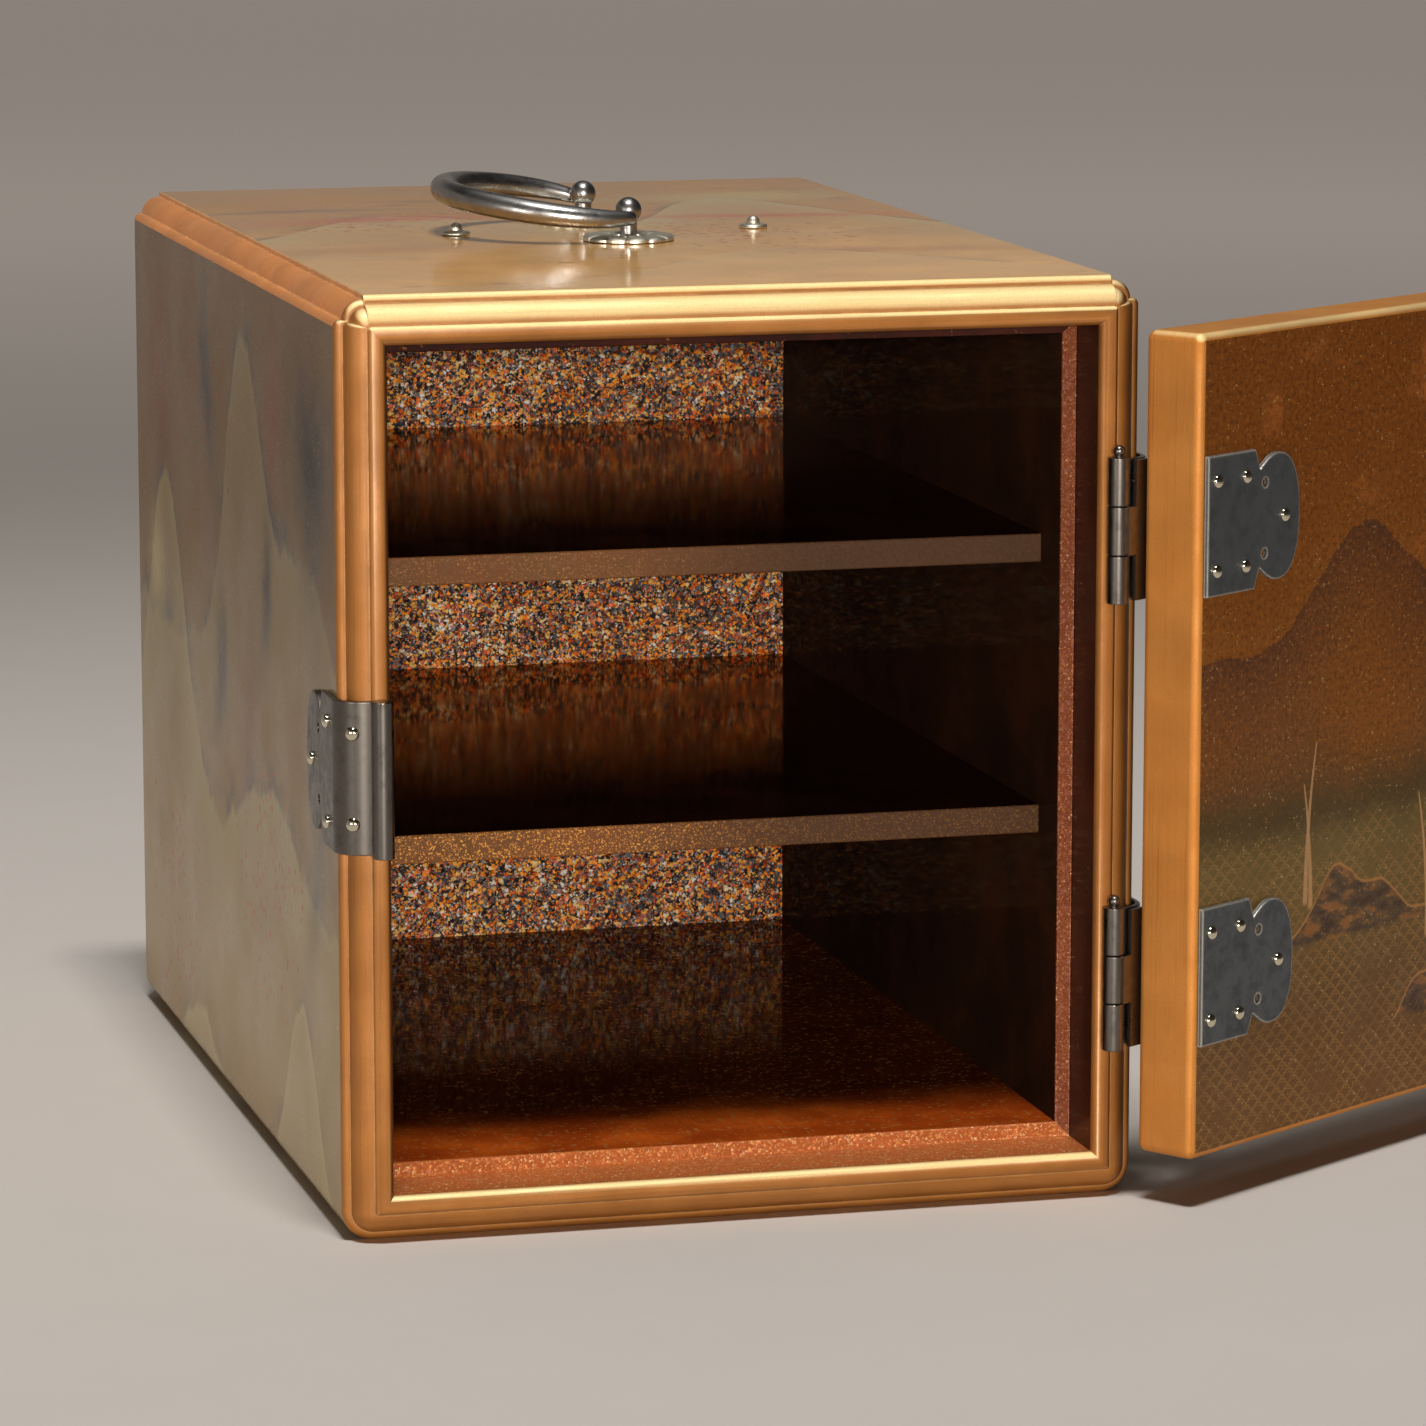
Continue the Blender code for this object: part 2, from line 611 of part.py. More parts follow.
def ring_path():
    """The ring's centre line, as (reach, across, lift, radius) from end to end.

    The lift is the slight twist by which the front arm lies lower than the back arm.
    """
    half_angle = math.atan2(RING_END_HALF, RING_CENTRE_OFFSET)
    first = math.pi - half_angle
    arc = []
    for i in range(RING_STEPS + 1):
        share = i / RING_STEPS
        angle = -first + 2 * first * share
        reach = RING_CENTRE_OFFSET + RING_RADIUS * math.cos(angle)
        across = RING_RADIUS * math.sin(angle)
        swell = 1 - abs(2 * share - 1) ** RING_SWELL_POWER
        radius = RING_END_RADIUS + (RING_TUBE_RADIUS - RING_END_RADIUS) * swell
        bend = 1 - abs(2 * share - 1) ** RING_TWIST_POWER
        arc.append((reach, across, across * math.tan(RING_TWIST) * bend, radius))
    inner = POST_SPACING / 2 - POST_RADIUS
    outer = POST_SPACING / 2 + POST_RADIUS
    pin = [(inner, RING_PIN_RADIUS), (outer, RING_PIN_RADIUS)]
    pin.append((RING_END_HALF - RING_TURN_INSET, RING_TURN_RADIUS))
    start = [(0.0, -across, 0.0, radius) for across, radius in pin]
    end = [(0.0, across, 0.0, radius) for across, radius in reversed(pin)]
    return start + arc[1:-1] + end


def make_ring(axis):
    """The open ring, thick in the middle, whose ends turn in as pins through the posts."""
    path = ring_path()
    rings = []
    for i, (reach, across, lift, radius) in enumerate(path):
        before = path[max(i - 1, 0)]
        after = path[min(i + 1, len(path) - 1)]
        along = Vector((after[0] - before[0], after[1] - before[1])).normalized()
        side = Vector((-along.y, along.x))
        section = []
        for k in range(RING_SIDES):
            angle = 2 * math.pi * k / RING_SIDES
            spread = radius * math.cos(angle)
            x = -(reach + side.x * spread)
            section.append((x, across + side.y * spread, lift + radius * math.sin(angle)))
        rings.append(section)
    bm = bmesh.new()
    loft(bm, rings)
    add_object("handle_ring", bm, SILVER, axis)


def make_post(name, side):
    """A turned post with a ball finial and a cross hole for the ring's pin."""
    join = math.sqrt(POST_BALL_RADIUS**2 - POST_RADIUS**2)
    profile = [
        (POST_FOOT_RADIUS, SHEET_GAP),
        (POST_FOOT_RADIUS, POST_FOOT_HEIGHT),
        (POST_RADIUS, POST_FOOT_HEIGHT + SHEET_GAP),
        (POST_RADIUS, POST_BALL_HEIGHT - join),
    ]
    for degrees in POST_BALL_DEGREES:
        angle = math.radians(degrees)
        radius = POST_BALL_RADIUS * math.cos(angle)
        profile.append((radius, POST_BALL_HEIGHT + POST_BALL_RADIUS * math.sin(angle)))
    profile.append((0, POST_BALL_HEIGHT + POST_BALL_RADIUS))
    place = (0, side * POST_SPACING / 2, CASE_HEIGHT)
    post = add_object("handle_post_" + name, turned(profile, TURNED_SIDES), SILVER, None, place)
    hole_radius = RING_PIN_RADIUS + RING_PIN_CLEARANCE
    reach = 2 * POST_FOOT_RADIUS
    hole = turned([(hole_radius, -reach), (hole_radius, reach)], NAIL_SIDES)
    lie = Matrix.Rotation(math.pi / 2, 3, "X")
    at = (place[0], place[1], CASE_HEIGHT + RING_PIVOT_HEIGHT)
    combine(post, add_object("cut_post_hole_" + name, hole, None, None, at, lie), "DIFFERENCE")


def make_rosette(name, side):
    """A petal plate around a post: a scalloped edge and a furrow between the petals."""
    steps = ROSETTE_PETALS * PETAL_STEPS
    hole = POST_FOOT_RADIUS + ROSETTE_HOLE_GAP
    width = ROSETTE_RADIUS - hole
    rows = [(hole + width * out, ROSETTE_HEIGHT * up, cut) for out, up, cut in ROSETTE_PROFILE]
    rows += [(ROSETTE_RADIUS, ROSETTE_EDGE, 0.0), (ROSETTE_RADIUS, 0.0, 0.0), (hole, 0.0, 0.0)]
    bm = bmesh.new()
    rings = []
    for radius, height, furrow in rows:
        ring = []
        for i in range(steps):
            angle = 2 * math.pi * i / steps
            crest = abs(math.cos(ROSETTE_PETALS * angle / 2))
            edge = radius if radius < ROSETTE_RADIUS else radius * (1 - ROSETTE_SCALLOP * (1 - crest))
            lift = height * (1 - furrow * (1 - crest))
            ring.append(bm.verts.new((edge * math.cos(angle), edge * math.sin(angle), lift)))
        rings.append(ring)
    for ring, other in zip(rings, rings[1:] + rings[:1]):
        for i in range(steps):
            j = (i + 1) % steps
            bm.faces.new((ring[i], ring[j], other[j], other[i]))
    place = (0, side * POST_SPACING / 2, CASE_HEIGHT + SHEET_GAP)
    add_object("handle_rosette_" + name, bm, PALE_SILVER, None, place)


def make_stud(name, side):
    """A domed stud with a round collar that the folded ring rests on."""
    dome_base = STUD_HEIGHT - STUD_DOME_RADIUS
    profile = [
        (STUD_COLLAR_RADIUS, SHEET_GAP),
        (STUD_COLLAR_RADIUS, STUD_COLLAR_EDGE),
        (STUD_COLLAR_TOP_RADIUS, STUD_COLLAR_HEIGHT),
        (STUD_DOME_RADIUS, STUD_COLLAR_HEIGHT),
        (STUD_DOME_RADIUS, dome_base),
    ]
    for degrees in STUD_DOME_DEGREES:
        angle = math.radians(degrees)
        radius = STUD_DOME_RADIUS * math.cos(angle)
        profile.append((radius, dome_base + STUD_DOME_RADIUS * math.sin(angle)))
    profile.append((0, STUD_HEIGHT))
    place = (side * STUD_X, 0, CASE_HEIGHT)
    add_object("stop_stud_" + name, turned(profile, TURNED_SIDES), SILVER, None, place)


def main():
    """Build the whole cabinet."""
    clear_scene()
    make_case()
    make_shelves()
    door_axis = add_empty("door_axis", (HINGE_X, HINGE_Y, 0), DOOR_OPEN_ANGLE)
    make_door(door_axis)
    for name, height in HINGE_HEIGHTS.items():
        make_case_leaf(name, height)
        make_door_leaf(name, height, door_axis)
        make_door_plate(name, height, door_axis)
        make_pin(name, height)
    make_catch()
    ring_axis = add_empty("ring_axis", (0, 0, CASE_HEIGHT + RING_PIVOT_HEIGHT), RING_REST_TILT, "Y")
    make_ring(ring_axis)
    for name, side in (("front", -1), ("back", 1)):
        make_post(name, side)
        make_rosette(name, side)
    for name, side in (("left", -1), ("right", 1)):
        make_stud(name, side)
    bpy.context.view_layer.update()


main()
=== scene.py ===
"""The looks of a small gold lacquer cabinet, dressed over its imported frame.

X runs to the right, Y to the back and Z up, in metres. The origin is the centre of the underside.
The door's pieces are modelled about the door's axis in their closed place and then swung open,
and their finishes are laid out on the closed place too.
"""

import logging
import random
from collections.abc import Callable, Sequence
from dataclasses import dataclass
from enum import Enum, IntEnum
from functools import cache
from math import asin, atan2, cos, hypot, pi, radians, sin, sqrt, tan

import bmesh
import bpy
from mathutils import Matrix, Vector

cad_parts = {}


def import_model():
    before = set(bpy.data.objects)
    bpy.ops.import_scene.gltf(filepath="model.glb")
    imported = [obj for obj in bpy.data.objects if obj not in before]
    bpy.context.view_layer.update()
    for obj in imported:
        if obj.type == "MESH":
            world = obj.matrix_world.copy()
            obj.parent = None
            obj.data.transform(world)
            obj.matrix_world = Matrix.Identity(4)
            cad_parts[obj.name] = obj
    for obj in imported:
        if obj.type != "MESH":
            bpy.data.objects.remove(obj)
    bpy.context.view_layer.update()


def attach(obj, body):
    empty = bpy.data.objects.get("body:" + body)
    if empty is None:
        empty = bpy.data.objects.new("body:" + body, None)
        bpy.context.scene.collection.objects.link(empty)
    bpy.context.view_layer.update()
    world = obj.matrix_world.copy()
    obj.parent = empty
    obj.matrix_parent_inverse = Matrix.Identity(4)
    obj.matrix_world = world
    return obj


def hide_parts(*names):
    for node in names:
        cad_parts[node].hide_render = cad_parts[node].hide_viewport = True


Item = bpy.types.Object
Point = Sequence[float]
Pair = tuple[float, float]
Triple = tuple[float, float, float]
Value = "Signal | float"

LOG = logging.getLogger("cabinet")
SMOOTH_ANGLE = radians(38)
WELD = 1e-7
SOFT = 0.29  # how far in the middle point of a rounded edge lies, as a share of its radius


class Slot(Enum):
    """The record's material slots."""

    GOLD_LACQUER = "gold_lacquer"
    DARK_LACQUER = "dark_lacquer"
    SILVER = "silver"
    DARK_SILVER = "dark_silver"
    PALE_SILVER = "pale_silver"


class Body(Enum):
    """The bodies that the pieces move with."""

    CASE = "case"
    DOOR = "door"
    HANDLE = "handle"


class Plane(Enum):
    """Which two axes of a piece a picture is laid out along: across, then up."""

    FRONT = ("X", "Z")
    SIDE = ("Y", "Z")
    TOP = ("X", "Y")


def tint(code: str) -> tuple[float, float, float, float]:
    """Turn a screen colour of six hex digits, such as "c4bab0", into linear red, green, blue and alpha."""
    channels = [int(code[i : i + 2], 16) / 255 for i in (0, 2, 4)]
    linear = [c / 12.92 if c <= 0.04045 else ((c + 0.055) / 1.055) ** 2.4 for c in channels]
    return (*linear, 1.0)


@dataclass(frozen=True)
class Signal:
    """A value, colour or vector inside a shader, with sums written as plain arithmetic."""

    graph: "Graph"
    socket: bpy.types.NodeSocket

    def __add__(self, other: Value) -> "Signal":
        """Add."""
        return self.graph.math("ADD", self, other)

    def __sub__(self, other: Value) -> "Signal":
        """Subtract."""
        return self.graph.math("SUBTRACT", self, other)

    def __rsub__(self, other: float) -> "Signal":
        """Subtract from a number."""
        return self.graph.math("SUBTRACT", other, self)

    def __mul__(self, other: Value) -> "Signal":
        """Multiply."""
        return self.graph.math("MULTIPLY", self, other)

    def __truediv__(self, other: Value) -> "Signal":
        """Divide."""
        return self.graph.math("DIVIDE", self, other)

    def size(self) -> "Signal":
        """Give the value without its sign."""
        return self.graph.math("ABSOLUTE", self)

    def sine(self) -> "Signal":
        """Give the sine of the value in radians."""
        return self.graph.math("SINE", self)

    def fraction(self) -> "Signal":
        """Give the part after the decimal point."""
        return self.graph.math("FRACT", self)

    def whole(self) -> "Signal":
        """Give the value rounded down."""
        return self.graph.math("FLOOR", self)

    def bell(self) -> "Signal":
        """Give a bell curve that is 1 where the value is 0."""
        return self.graph.math("EXPONENT", self * self * -1.0)

    def fade(self, reach: float) -> "Signal":
        """Give 1 where the value is 0 or less, fading out over a reach."""
        return self.graph.math("EXPONENT", self.graph.math("MAXIMUM", self, 0.0) * (-1.0 / reach))

    def rise(self, low: float, high: float) -> "Signal":
        """Give 0 below low and 1 above high, with a smooth step between."""
        return self.graph.spread(self, low, high)


class Graph:
    """Writes nodes into the node tree of a material or of a node group."""

    def __init__(self, tree: bpy.types.NodeTree) -> None:
        """Keep the tree to write in."""
        self.tree = tree

    def node(self, kind: str, *values: object, **settings: object) -> bpy.types.Node:
        """Add a node.

        Args:
            kind: The node's type, without the leading words ShaderNode.
            values: What its first inputs are fed.
            settings: Properties of the node to set.

        Returns:
            The new node.
        """
        made = self.tree.nodes.new("ShaderNode" + kind)
        for name, value in settings.items():
            setattr(made, name, value)
        for socket, value in zip(made.inputs, values):
            self.feed(socket, value)
        return made

    def feed(self, socket: bpy.types.NodeSocket, value: object) -> None:
        """Give an input socket a signal, a plain value or a hex colour."""
        if isinstance(value, Signal):
            self.tree.links.new(value.socket, socket)
        else:
            socket.default_value = tint(value) if isinstance(value, str) else value

    def put(self, name: str, value: object) -> None:
        """Give an input of the material's shader a signal or a plain value."""
        self.feed(self.tree.nodes["Principled BSDF"].inputs[name], value)

    def facing(self) -> Signal:
        """Give the direction that the surface faces."""
        return Signal(self, self.node("NewGeometry").outputs["Normal"])

    def math(self, operation: str, first: Value, second: Value = 0.0) -> Signal:
        """Work out one operation on one or two values."""
        return Signal(self, self.node("Math", first, second, operation=operation).outputs[0])

    def most(self, *values: Value) -> Signal:
        """Give the greatest of some values."""
        result = values[0]
        for value in values[1:]:
            result = self.math("MAXIMUM", result, value)
        return result

    def spread(self, value: Signal, low: float, high: float, start: float = 0.0, end: float = 1.0) -> Signal:
        """Map the range from low to high smoothly onto start to end, held at its ends."""
        made = self.node("MapRange", value, low, high, start, end, interpolation_type="SMOOTHSTEP")
        return Signal(self, made.outputs[0])

    def mix(self, share: Value, first: object, second: object) -> Signal:
        """Mix two colours, each a signal or a colour, by a share of the second."""
        made = self.node("Mix", data_type="RGBA")
        self.feed(made.inputs["Factor"], share)
        self.feed(made.inputs[6], first)
        self.feed(made.inputs[7], second)
        return Signal(self, made.outputs[2])

    def layers(self, colour: Signal, *layers: tuple[Signal, object]) -> Signal:
        """Lay colours over a first one, each given as its share and its colour."""
        for share, code in layers:
            colour = self.mix(share, colour, code)
        return colour

    def place(self, stand: "Stand | None" = None) -> Signal:
        """Give the place on the piece in metres, taken back to where the stand has it closed."""
        here = Signal(self, self.node("TexCoord").outputs["Object"])
        if stand is None:
            return here
        back = self.node("Mapping", vector_type="TEXTURE")
        back.inputs["Location"].default_value = (stand.x, stand.y, 0.0)
        back.inputs["Rotation"].default_value = (0.0, 0.0, stand.turn)
        self.feed(back.inputs["Vector"], here)
        return Signal(self, back.outputs[0])

    def split(self, vector: Signal) -> tuple[Signal, Signal, Signal]:
        """Give the three parts of a vector."""
        return tuple(Signal(self, output) for output in self.node("SeparateXYZ", vector).outputs)

    def join(self, x: Value, y: Value, z: Value) -> Signal:
        """Make a vector from three values."""
        return Signal(self, self.node("CombineXYZ", x, y, z).outputs[0])

    def vector(self, operation: str, first: object, second: object = (0.0, 0.0, 0.0)) -> Signal:
        """Work out one operation on one or two vectors."""
        made = self.node("VectorMath", first, second, operation=operation)
        return Signal(self, made.outputs["Value" if operation == "DOT_PRODUCT" else "Vector"])

    def noise(self, vector: Signal, wave: float, detail: float = 2.0, rough: float = 0.5) -> Signal:
        """Give soft noise between 0 and 1, whose lumps are about one wave apart."""
        made = self.node("TexNoise")
        values = {"Vector": vector, "Scale": 1 / wave, "Detail": detail, "Roughness": rough}
        for name, value in values.items():
            self.feed(made.inputs[name], value)
        return Signal(self, made.outputs["Fac"])

    def cells(self, vector: Signal, pitch: Value) -> tuple[Signal, Signal]:
        """Give cells one pitch apart, as the distance from a cell's middle and a colour for each cell."""
        made = self.node("TexVoronoi")
        scale = self.math("DIVIDE", 1.0, pitch) if isinstance(pitch, Signal) else 1 / pitch
        self.feed(made.inputs["Vector"], vector)
        self.feed(made.inputs["Scale"], scale)
        return Signal(self, made.outputs["Distance"]), Signal(self, made.outputs["Color"])

    def shades(self, value: Signal, stops: Sequence[tuple[float, str]], stepped: bool = False) -> Signal:
        """Turn a value into a colour by stops of (value, hex colour).

        Args:
            value: The value to read, from 0 to 1.
            stops: Where each colour stands, in rising order.
            stepped: True for flat steps of colour, from each stop to the next.

        Returns:
            The colour.
        """
        made = self.node("ValToRGB", value)
        ramp = made.color_ramp
        ramp.interpolation = "CONSTANT" if stepped else "LINEAR"
        while len(ramp.elements) < len(stops):
            ramp.elements.new(1.0)
        for element, (position, code) in zip(ramp.elements, stops):
            element.position = position
            element.color = tint(code)
        return Signal(self, made.outputs[0])

    def bump(self, height: Signal, depth: float) -> Signal:
        """Give a normal from a height of 0 to 1 and its depth in metres."""
        made = self.node("Bump")
        made.inputs["Strength"].default_value = 1.0
        made.inputs["Distance"].default_value = depth
        self.feed(made.inputs["Height"], height)
        return Signal(self, made.outputs[0])

    def effect(
        self, group: Callable[[], bpy.types.NodeTree], place: Signal, **values: object
    ) -> dict[str, Signal]:
        """Place a shared effect and give its outputs by name.

        Args:
            group: Builds the effect's node group, or gives the one that was built.
            place: The place on the piece.
            values: Its other inputs by name.

        Returns:
            The outputs by name.
        """
        made = self.node("Group")
        made.node_tree = group()
        self.feed(made.inputs["Vector"], place)
        for name, value in values.items():
            self.feed(made.inputs[name], value)
        return {output.name: Signal(self, output) for output in made.outputs}


class Effect:
    """A shared effect: a node group that is built once, with named inputs and outputs."""

    vectors = ("Vector", "Along", "Normal")

    def __init__(self, name: str, inputs: str, outputs: str) -> None:
        """Open the group and its sockets.

        Args:
            name: The group's name.
            inputs: The names of its inputs, with spaces between them.
            outputs: The names of its outputs.
        """
        self.tree = bpy.data.node_groups.new(name, "ShaderNodeTree")
        for side, titles in (("INPUT", inputs), ("OUTPUT", outputs)):
            for title in titles.split():
                kind = "NodeSocketVector" if title in self.vectors else "NodeSocketFloat"
                self.tree.interface.new_socket(title, in_out=side, socket_type=kind)
        self.graph = Graph(self.tree)
        self.entry = self.tree.nodes.new("NodeGroupInput")
        self.exit = self.tree.nodes.new("NodeGroupOutput")

    def given(self, name: str) -> Signal:
        """Give an input of the group as a signal."""
        return Signal(self.graph, self.entry.outputs[name])

    def put_out(self, **signals: Signal) -> bpy.types.NodeTree:
        """Wire the outputs by name and give the finished group."""
        for name, signal in signals.items():
            self.graph.feed(self.exit.inputs[name], signal)
        return self.tree


@cache
def flake_group() -> bpy.types.NodeTree:
    """Build sprinkled metal flakes, each with its own tone and tilt."""
    made = Effect("sprinkled_flakes", "Vector Pitch Cover Tilt", "Mask Centre Tone Glint Normal")
    g = made.graph
    place, pitch = made.given("Vector"), made.given("Pitch")
    ragged = g.node("TexNoise")
    g.feed(ragged.inputs["Vector"], place)
    g.feed(ragged.inputs["Scale"], g.math("DIVIDE", 1.1, pitch))
    shift = g.vector("SUBTRACT", Signal(g, ragged.outputs["Color"]), (0.5, 0.5, 0.5))
    wide = pitch * 1.9
    scaled = g.vector("MULTIPLY", shift, g.join(wide, wide, wide))
    distance, chance = g.cells(g.vector("ADD", place, scaled), pitch)
    tone, glint, _ = g.split(chance)
    reach = made.given("Cover") * (glint * 0.7 + 0.6)
    mask = g.spread(distance - reach, -0.06, 0.06, 1.0, 0.0)
    # Each flake is painted brightest at its middle and fades into the ground at its rim: a painted highlight
    # on each flake.
    centre = g.spread(distance / reach, 0.55, 1.1, 1.0, 0.35)
    lean = g.vector("SUBTRACT", chance, (0.5, 0.5, 0.5))
    tilt = made.given("Tilt")
    turned = g.vector("ADD", g.facing(), g.vector("MULTIPLY", lean, g.join(tilt, tilt, tilt)))
    normal = g.vector("NORMALIZE", turned)
    return made.put_out(Mask=mask, Centre=centre, Tone=tone, Glint=glint, Normal=normal)


@cache
def powder_group() -> bpy.types.NodeTree:
    """Build rubbed metal powder: fine grain, with drifts of denser powder."""
    made = Effect("rubbed_powder", "Vector Drift", "Grain Drift")
    g = made.graph
    place = made.given("Vector")
    grain = g.noise(place, 0.00016, 3.0, 0.7)
    drift = g.noise(place, 0.0065, 4.0, 0.55)
    shifted = (drift - 0.5) * made.given("Drift") + 0.5
    return made.put_out(Grain=grain.rise(0.3, 0.7), Drift=shifted)


@cache
def wear_group() -> bpy.types.NodeTree:
    """Build edge wear, which follows arrises and creases and is broken up by noise."""
    made = Effect("edge_wear", "Vector Amount", "Edge Rubbed")
    g = made.graph
    soft = g.node("Bevel", samples=4)
    soft.inputs["Radius"].default_value = 0.00035
    turned = g.vector("DOT_PRODUCT", Signal(g, soft.outputs[0]), g.facing())
    edge = g.spread(turned, 0.92, 0.999, 1.0, 0.0)
    patch = g.noise(made.given("Vector"), 0.0021, 4.0, 0.65)
    rubbed = edge * (patch + made.given("Amount") - 0.5).rise(0.3, 0.62)
    return made.put_out(Edge=edge, Rubbed=rubbed)


@cache
def haze_group() -> bpy.types.NodeTree:
    """Build the faint unevenness of old polish: a wavy film, rubbed patches and fine lines."""
    made = Effect("polish_haze", "Vector Along", "Film Waves Lines")
    g = made.graph
    place = made.given("Vector")
    stretched = g.vector("MULTIPLY", place, made.given("Along"))
    lines = g.noise(stretched, 0.00042, 2.0, 0.6)
    film = g.noise(place, 0.011, 4.0, 0.6)
    waves = g.noise(place, 0.0045, 1.0, 0.4)
    return made.put_out(Film=film, Waves=waves, Lines=lines)


@cache
def dust_group() -> bpy.types.NodeTree:
    """Build sparse specks of dust, thicker on faces that look up."""
    made = Effect("dust_specks", "Vector Amount", "Mask")
    g = made.graph
    distance, colour = g.cells(made.given("Vector"), 0.0016)
    chance, size, _ = g.split(colour)
    _, _, up = g.split(g.facing())
    chosen = (chance + up * 0.1 + made.given("Amount")).rise(0.985, 1.0)
    dot = g.spread(distance - size * 0.03, 0.01, 0.04, 1.0, 0.0)
    return made.put_out(Mask=dot * chosen)


@dataclass(frozen=True)
class Stand:
    """An upright axis and how far the pieces about it stand turned, in radians."""

    x: float
    y: float
    turn: float


@dataclass(frozen=True)
class Finish:
    """A finish: one Blender material, built the first time that it is asked for."""

    name: str
    stand: "Stand | None" = None

    def material(self) -> bpy.types.Material:
        """Give the finish's material."""
        known = bpy.data.materials.get(self.name)
        if known is not None:
            return known
        made = bpy.data.materials.new(self.name)
        made.use_nodes = True
        self.paint(Graph(made.node_tree))
        return made

    def paint(self, g: Graph) -> None:
        """Wire the finish into its shader."""
        raise NotImplementedError


@dataclass(frozen=True)
class GoldRim(Finish):
    """Matt gold rubbed over brown lacquer, as on the mouldings and the edges of the door, with a painted
    highlight where it faces up and forward, painted shade where it faces right when given a shade share, and
    pale arrises that are partly rubbed wear and partly painted highlight.
    """

    light: str = "b87a38"
    deep: str = "a0662a"
    # Pale gold for the painted highlight where the surface faces up and forward, and for the arrises.
    pale: str = "fbe0a4"
    # Bare brown lacquer, for rubbed wear, drawn lines and grain, and also for the painted shade where the
    # surface faces right.
    bare_and_shade: str = "4a2810"
    rough: float = 0.62
    metal: float = 0.8
    coat: float = 0.55
    # The share of pale gold on the arrises, partly rubbed wear and partly painted highlight.
    arris: float = 0.25
    # The share of painted shade where the surface faces right, towards the hinge side.
    shade: float = 0.0
    frame: Pair = (0.0, 0.0)
    # The direction that the painted highlight faces: up and towards the front, where the light falls.
    painted_highlight_facing: Triple = (-0.1, -0.68, 0.73)

    def paint(self, g: Graph) -> None:
        """Wire the finish into its shader."""
        place = g.place(self.stand)
        powder = g.effect(powder_group, place, Drift=1.0)
        wear = g.effect(wear_group, place, Amount=0.42)
        haze = g.effect(haze_group, place, Along=(1.0, 0.05, 1.0))
        lines = self.drawn_lines(g, place)
        colour = g.mix(powder["Drift"].rise(0.1, 0.9), self.deep, self.light)
        facing = g.facing()
        # Painted highlight: paler gold where the surface faces up and forward.
        painted_highlight_facing = g.vector("DOT_PRODUCT", facing, self.painted_highlight_facing)
        colour = g.mix(painted_highlight_facing.rise(0.72, 0.93) * 0.9, colour, self.pale)
        # Painted shade: browner where the surface faces right, towards the hinge side.
        painted_shade_side, _, _ = g.split(facing)
        colour = g.layers(
            colour,
            (painted_shade_side.rise(0.2, 0.9) * self.shade, self.bare_and_shade),
            # Pale arrises: partly rubbed wear, partly painted highlight.
            (wear["Edge"] * self.arris, self.pale),
            ((lines - 0.5).rise(0.0, 0.35) * 0.35, self.bare_and_shade),
            (powder["Grain"] * 0.22, self.bare_and_shade),
            (wear["Rubbed"] * 0.45, self.bare_and_shade),
        )
        specks = g.effect(dust_group, place, Amount=-0.02)
        colour = g.mix(specks["Mask"] * 0.6, colour, "d8d0c4")
        g.put("Base Color", colour)
        g.put("Metallic", g.spread(powder["Grain"], 0.0, 1.0, self.metal + 0.1, self.metal - 0.2))
        g.put("Roughness", g.spread(haze["Film"], 0.3, 0.7, self.rough - 0.05, self.rough + 0.08))
        g.put("Coat Roughness", 0.38)
        g.put("Specular IOR Level", 0.1)
        g.put("Coat Weight", g.spread(haze["Film"], 0.3, 0.7, self.coat + 0.15, self.coat - 0.1))
        height = powder["Grain"] * 0.25 + lines * 1.4
        g.put("Normal", g.bump(height, 0.000012))

    def drawn_lines(self, g: Graph, place: Signal) -> Signal:
        """Give fine lines drawn along the rim, at equal distances from its outer edge."""
        x, y, z = g.split(place)
        half, middle = self.frame
        if half == 0.0:
            inward = y
        else:
            inward = g.most(x.size() - half, (z - middle).size() - middle)
        slow = (x + z + y) * 0.012
        return g.noise(g.join(inward, slow, 0.0), 0.0003, 3.0, 0.65)


@dataclass(frozen=True)
class DarkLacquer(Finish):
    """Deep red-brown lacquer with a mirror polish, drawn in fine lines along one direction."""

    colour: str = "1c0d07"
    glow: str = "3a1a0a"
    fleck: str = "8a5226"
    cover: float = 0.16
    along: Triple = (1.0, 0.012, 1.0)
    rough: float = 0.075
    coat: float = 0.8
    gloss: float = 0.5
    line_depth: float = 0.0000035
    # Where the lacquer is painted darker towards the back, from one depth to another: a painted shadow.
    painted_shadow_span: Pair = (0.0, 0.0)
    amber: str = "ffffff"
    amber_share: Pair = (0.0, 0.0)

    def paint(self, g: Graph) -> None:
        """Wire the finish into its shader."""
        place = g.place(self.stand)
        haze = g.effect(haze_group, place, Along=self.along)
        flakes = g.effect(flake_group, place, Pitch=0.00055, Cover=self.cover, Tilt=0.5)
        colour = g.mix(haze["Film"].rise(0.35, 0.75), self.colour, self.glow)
        fine = (haze["Lines"] - 0.5) * 0.8 + 0.3
        colour = g.mix(fine, colour, self.colour)
        # Painted shadow: darker behind the span, where the overhead light does not reach.
        start, end = self.painted_shadow_span
        if end != start:
            _, y, _ = g.split(place)
            colour = g.mix((y + (haze["Waves"] - 0.5) * 0.004).rise(start, end) * 0.8, colour, "120603")
        shown = flakes["Mask"] * flakes["Tone"].rise(0.55, 0.75)
        colour = g.mix(shown * 0.7, colour, self.fleck)
        specks = g.effect(dust_group, place, Amount=-0.04)
        colour = g.mix(specks["Mask"], colour, "9a8f84")
        g.put("Base Color", colour)
        _, depth, _ = g.split(place)
        mirror = g.spread(depth, -0.025, 0.045, *self.amber_share)
        g.put("Metallic", g.most(shown * 0.6, mirror))
        g.put("Roughness", g.spread(haze["Film"], 0.3, 0.75, self.rough, self.rough + 0.09))
        g.put("Specular Tint", self.amber)
        g.put("Coat Roughness", 0.05)
        g.put("Specular IOR Level", self.gloss)
        g.put("Coat Weight", g.spread(haze["Film"], 0.3, 0.75, self.coat, self.coat * 0.45))
        height = haze["Lines"] * 0.7 + haze["Waves"] * 1.2
        g.put("Normal", g.bump(height, self.line_depth))


